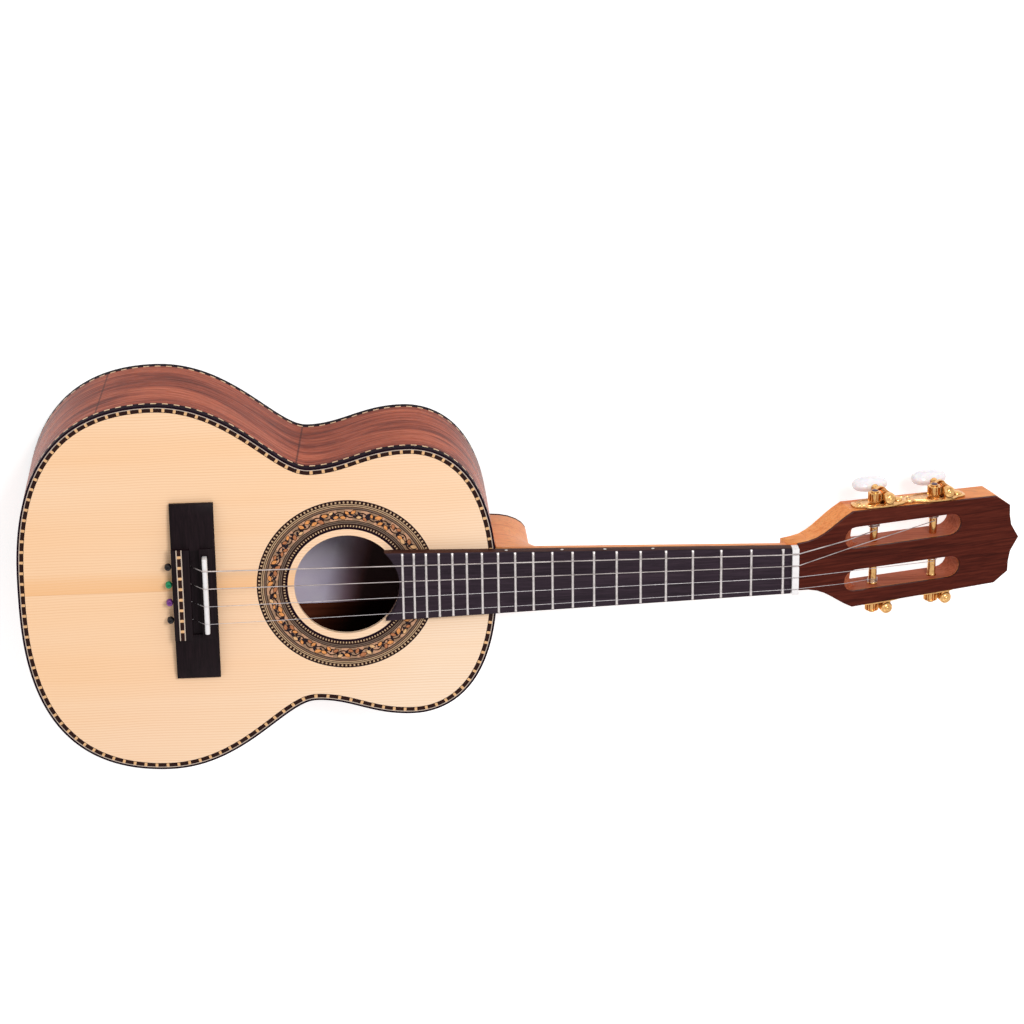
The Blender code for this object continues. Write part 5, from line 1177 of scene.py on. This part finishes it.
def plate_outline(near_post, spacing):
    """Lobes at the ends and at each post, narrower between, with small points where the lobes meet."""
    lobe, neck, middle = PLATE_LOBE, PLATE_NECK, (PLATE_NEAR + PLATE_FAR) / 2
    far_post = near_post + spacing
    stations = [(PLATE_NEAR, 0.0), (PLATE_NEAR + 0.0004, neck * 0.50), (PLATE_NEAR + 0.0020, neck * 0.86)]
    stations += [(PLATE_NEAR + 0.0050, neck * 0.94), (near_post - 0.0060, lobe * 0.95)]
    stations += [(near_post + WORM_DISTANCE, lobe), (near_post + BOSS_OFFSET + 0.0010, lobe * 0.80)]
    stations += [(middle - 0.0025, neck * 0.92), (middle, neck * 1.05), (middle + 0.0025, neck * 0.92)]
    stations += [(far_post - 0.0060, lobe * 0.95), (far_post + WORM_DISTANCE, lobe)]
    stations += [(PLATE_FAR - 0.0050, neck), (PLATE_FAR - 0.0016, neck * 0.84)]
    stations += [(PLATE_FAR - 0.0003, neck * 0.45), (PLATE_FAR, 0.0)]
    upper = [(where.x - middle, where.y) for where in smooth_path(stations, 6)]
    return upper + [(x, -y) for x, y in reversed(upper[1:-1])], middle


def dome(radius, height, steps=6, base=0.0006):
    angles = (pi / 2 * i / steps for i in range(1, steps + 1))
    return [*((radius * sin(angle), height * cos(angle)) for angle in angles), (radius, -base)]


def worm_holder(side, x):
    """Two round ears on feet that hold a worm, with the boss and the post's bush beside them."""
    worm, out = worm_frame(side, x)
    worm_x = x + WORM_DISTANCE
    near, far = sorted((side * (plate_outer(worm_x) - PLATE_THICKNESS / 2), side * out))
    ear = dome(EAR_RADIUS, EAR_HEIGHT, 9, EAR_SKIRT)
    ear = [(radius, height + EAR_START + EAR_SKIRT) for radius, height in ear if radius > SHAFT + GAP]
    pieces = []
    for up in (1, -1):
        flip = Matrix.Rotation(0 if up > 0 else pi, 4, "X")
        pieces.append(turned_mesh("ear", ear, 40, worm @ flip))
        low, high = sorted(up * height - POST_DEPTH for height in (EAR_START, EAR_START + EAR_HEIGHT))
        corners = (worm_x - FOOT_HALF, near, low), (worm_x + FOOT_HALF, far, high)
        pieces.append(box_mesh("foot", *corners, 0.0004, HEAD))
    boss_x = x + BOSS_OFFSET
    boss = dome(BOSS_RADIUS, 0.7 * BOSS_RADIUS - GAP)
    pieces.append(turned_mesh("boss", boss, 36, across(boss_x, side, plate_outer(boss_x))))
    bush = [(0.0034, 0.0005), (0.0039, 0.0002), (0.0039, -0.0004)]
    return [*pieces, turned_mesh("bush", bush, 36, across(x, side, plate_outer(x)))]


def make_plate(name, side, posts):
    """The side plate with its bead, its three screws and, for each post, a holder for the worm."""
    outline, middle = plate_outline(posts[0], posts[1] - posts[0])
    seat = head_side(middle) + GAP / cos(HEAD_TAPER)
    turn = Matrix.Rotation(-side * HEAD_TAPER, 4, "Z") @ Matrix.Rotation(-side * pi / 2, 4, "X")
    matrix = HEAD @ Matrix.Translation((middle, side * seat, -POST_DEPTH)) @ turn
    form = form_of(flat_mesh("plate", [outline], 0, PLATE_THICKNESS))
    soften(form, 0.00035, 3, 1, lambda where: where.z > PLATE_THICKNESS / 2)
    bead = [Vector((x * 0.955, y * 0.74, PLATE_THICKNESS)) for x, y in outline]
    gold = [from_form(form, "base", matrix), tube_mesh("bead", bead + bead[:2], 0.00022, 2, matrix)]
    for x in posts:
        gold += worm_holder(side, x)
    slits = []
    for x in (PLATE_NEAR + 0.0042, middle, PLATE_FAR - 0.0030):
        here = across(x, side, plate_outer(x))
        gold.append(turned_mesh("screw", dome(0.0015, 0.0006), 24, here))
        slits.append(box_mesh("slit", (-0.0011, -0.00018, 0.0003), (0.0011, 0.00018, 0.00064), 0, here))
    place(f"{name}_cast", joined(name, gold, slits), "gold dark_metal", name)


def make_tuners():
    posts = {1: [], -1: []}
    for number, where, _ in STRINGS:
        side, x = post_place(where)
        posts[side].append(x)
        for make in (make_post, make_gear, make_worm, make_button):
            make(number, side, x)
    make_plate("tuner_plate_bass", 1, sorted(posts[1]))
    make_plate("tuner_plate_treble", -1, sorted(posts[-1]))


# Inside and neck

INNER_PIECES = """
neck_block tail_block top_lining_bass top_lining_treble back_lining_bass back_lining_treble
upper_top_brace lower_top_brace fan_brace_bass fan_brace_centre fan_brace_treble
upper_back_brace middle_back_brace lower_back_brace bridge_plate
"""
LABEL_LOW, LABEL_HIGH = (0.0445, -0.042, 0.0028), (0.116, 0.042, 0.0031)


def make_inside():
    for node in INNER_PIECES.split():
        refined(node, "inside")
    place("label_sheet", box_mesh("label", LABEL_LOW, LABEL_HIGH), "paper", "label")


def make_neck():
    """The neck in cedar, with painted shade as a darker tone on the walls of the head's slots."""
    neck = refined("neck", "cedar", angle=30)
    neck.data.materials.append(LOOKS["slot"][1])
    to_head = HEAD.inverted()
    # Faces on the slot walls get the darker look as painted shade.
    for polygon in neck.data.polygons:
        x, y, z = to_head @ polygon.center
        along = SLOT_NEAR_X + 0.0025 < x < SLOT_FAR_X + 0.0002
        if along and abs(abs(y) - SLOT_CENTRE) < SLOT_HALF + 0.0002 and -HEAD_BACK < z < -0.0005:
            polygon.material_index = 1
    refined("heel_cap", "black", bevel=0.0003)
    refined("headplate", "headplate")


# Stage, light and camera

FLOOR_Z, FLOOR_HALF, FLOOR_GREY, FLOOR_GLOW = -0.0006, 8, (0.80, 0.80, 0.80), 0.60
AMBIENT = 0.50
# Place, target, width and height, and power of each lamp
LAMPS = {
    "key": ((0.75, 0.95, 1.85), (0.12, 0, 0.05), (0.6, 0.6), 21),
    "fill": ((-1.3, 0.9, 1.3), (0.15, 0, 0.05), (1.4, 1.4), 4),
    "front": ((0.3, -1.5, 1.5), (0.15, 0, 0.05), (1.6, 1.2), 5),
}
# The camera's place, its right and back directions, and its focal length in pixels of the photograph's width
CAMERA_PLACE = (0.0668, 0.6978, 1.8337)
CAMERA_RIGHT, CAMERA_BACK = (0.9976, -0.0118, 0.0682), (-0.0598, 0.3495, 0.9350)
FOCAL_PIXELS, PICTURE_PIXELS, SENSOR = 3181.7, 1024, 36


def emptied(owner):
    owner.use_nodes = True
    owner.node_tree.nodes.clear()
    return Nodes(owner.node_tree)


def seen(nodes):
    """One for rays from the camera, reflections and clear bodies, and zero for all other light."""
    rays = nodes.node("LightPath").outputs
    direct = nodes.maths("MAXIMUM", rays["Is Camera Ray"], rays["Is Glossy Ray"])
    return nodes.maths("MAXIMUM", direct, rays["Is Transmission Ray"])


def make_floor():
    """White paper that takes the shadow."""
    corners = [(x, y, FLOOR_Z) for x, y in ((-1, -1), (1, -1), (1, 1), (-1, 1))]
    corners = [(FLOOR_HALF * x, FLOOR_HALF * y, z) for x, y, z in corners]
    floor = add("floor", raw_mesh("floor", corners, [(0, 1, 2, 3)]))
    floor.data.materials.append(bpy.data.materials.new("floor_paper"))
    nodes = emptied(floor.data.materials[0])
    diffuse = nodes.node("BsdfDiffuse", Color=FLOOR_GREY)
    glow = nodes.node("Emission", Color=WHITE, Strength=nodes.times(seen(nodes), FLOOR_GLOW))
    total = nodes.node("AddShader")
    for socket, part in zip(total.inputs, (diffuse, glow)):
        nodes.put(socket, part.outputs[0])
    nodes.node("OutputMaterial", Surface=total.outputs[0])


def make_world():
    """White where it is seen, and softer as a source of light."""
    world = bpy.data.worlds.new("studio")
    bpy.context.scene.world = world
    nodes = emptied(world)
    ambient = nodes.node("Background", Color=WHITE, Strength=AMBIENT)
    backdrop = nodes.node("Background", Color=WHITE, Strength=1.0)
    choose = nodes.node("MixShader")
    for socket, part in zip(choose.inputs, (seen(nodes), ambient.outputs[0], backdrop.outputs[0])):
        nodes.put(socket, part)
    nodes.node("OutputWorld", Surface=choose.outputs[0])


def make_lights():
    for name, (where, target, size, power) in LAMPS.items():
        data = bpy.data.lights.new(name, "AREA")
        data.shape = "RECTANGLE"
        data.size, data.size_y = size
        data.energy = power
        lamp = add(name, data)
        lamp.location = where
        lamp.rotation_euler = (Vector(target) - Vector(where)).to_track_quat("-Z", "Y").to_euler()


def make_camera():
    data = bpy.data.cameras.new("camera")
    data.lens = FOCAL_PIXELS / PICTURE_PIXELS * SENSOR
    data.sensor_width = SENSOR
    data.clip_start = 0.01
    camera = add("camera", data)
    back = Vector(CAMERA_BACK)
    up = back.cross(Vector(CAMERA_RIGHT)).normalized()
    right = up.cross(back).normalized()
    turn = Matrix((right, up, back.normalized())).transposed().to_4x4()
    camera.matrix_world = Matrix.Translation(CAMERA_PLACE) @ turn
    bpy.context.scene.camera = camera


make_camera()
make_lights()
make_floor()
make_world()
bpy.context.scene.view_settings.view_transform = "Standard"
make_shell()
make_rosette()
make_inside()
make_board()
make_neck()
make_bridge()
for string in STRINGS:
    make_string(*string)
make_tuners()
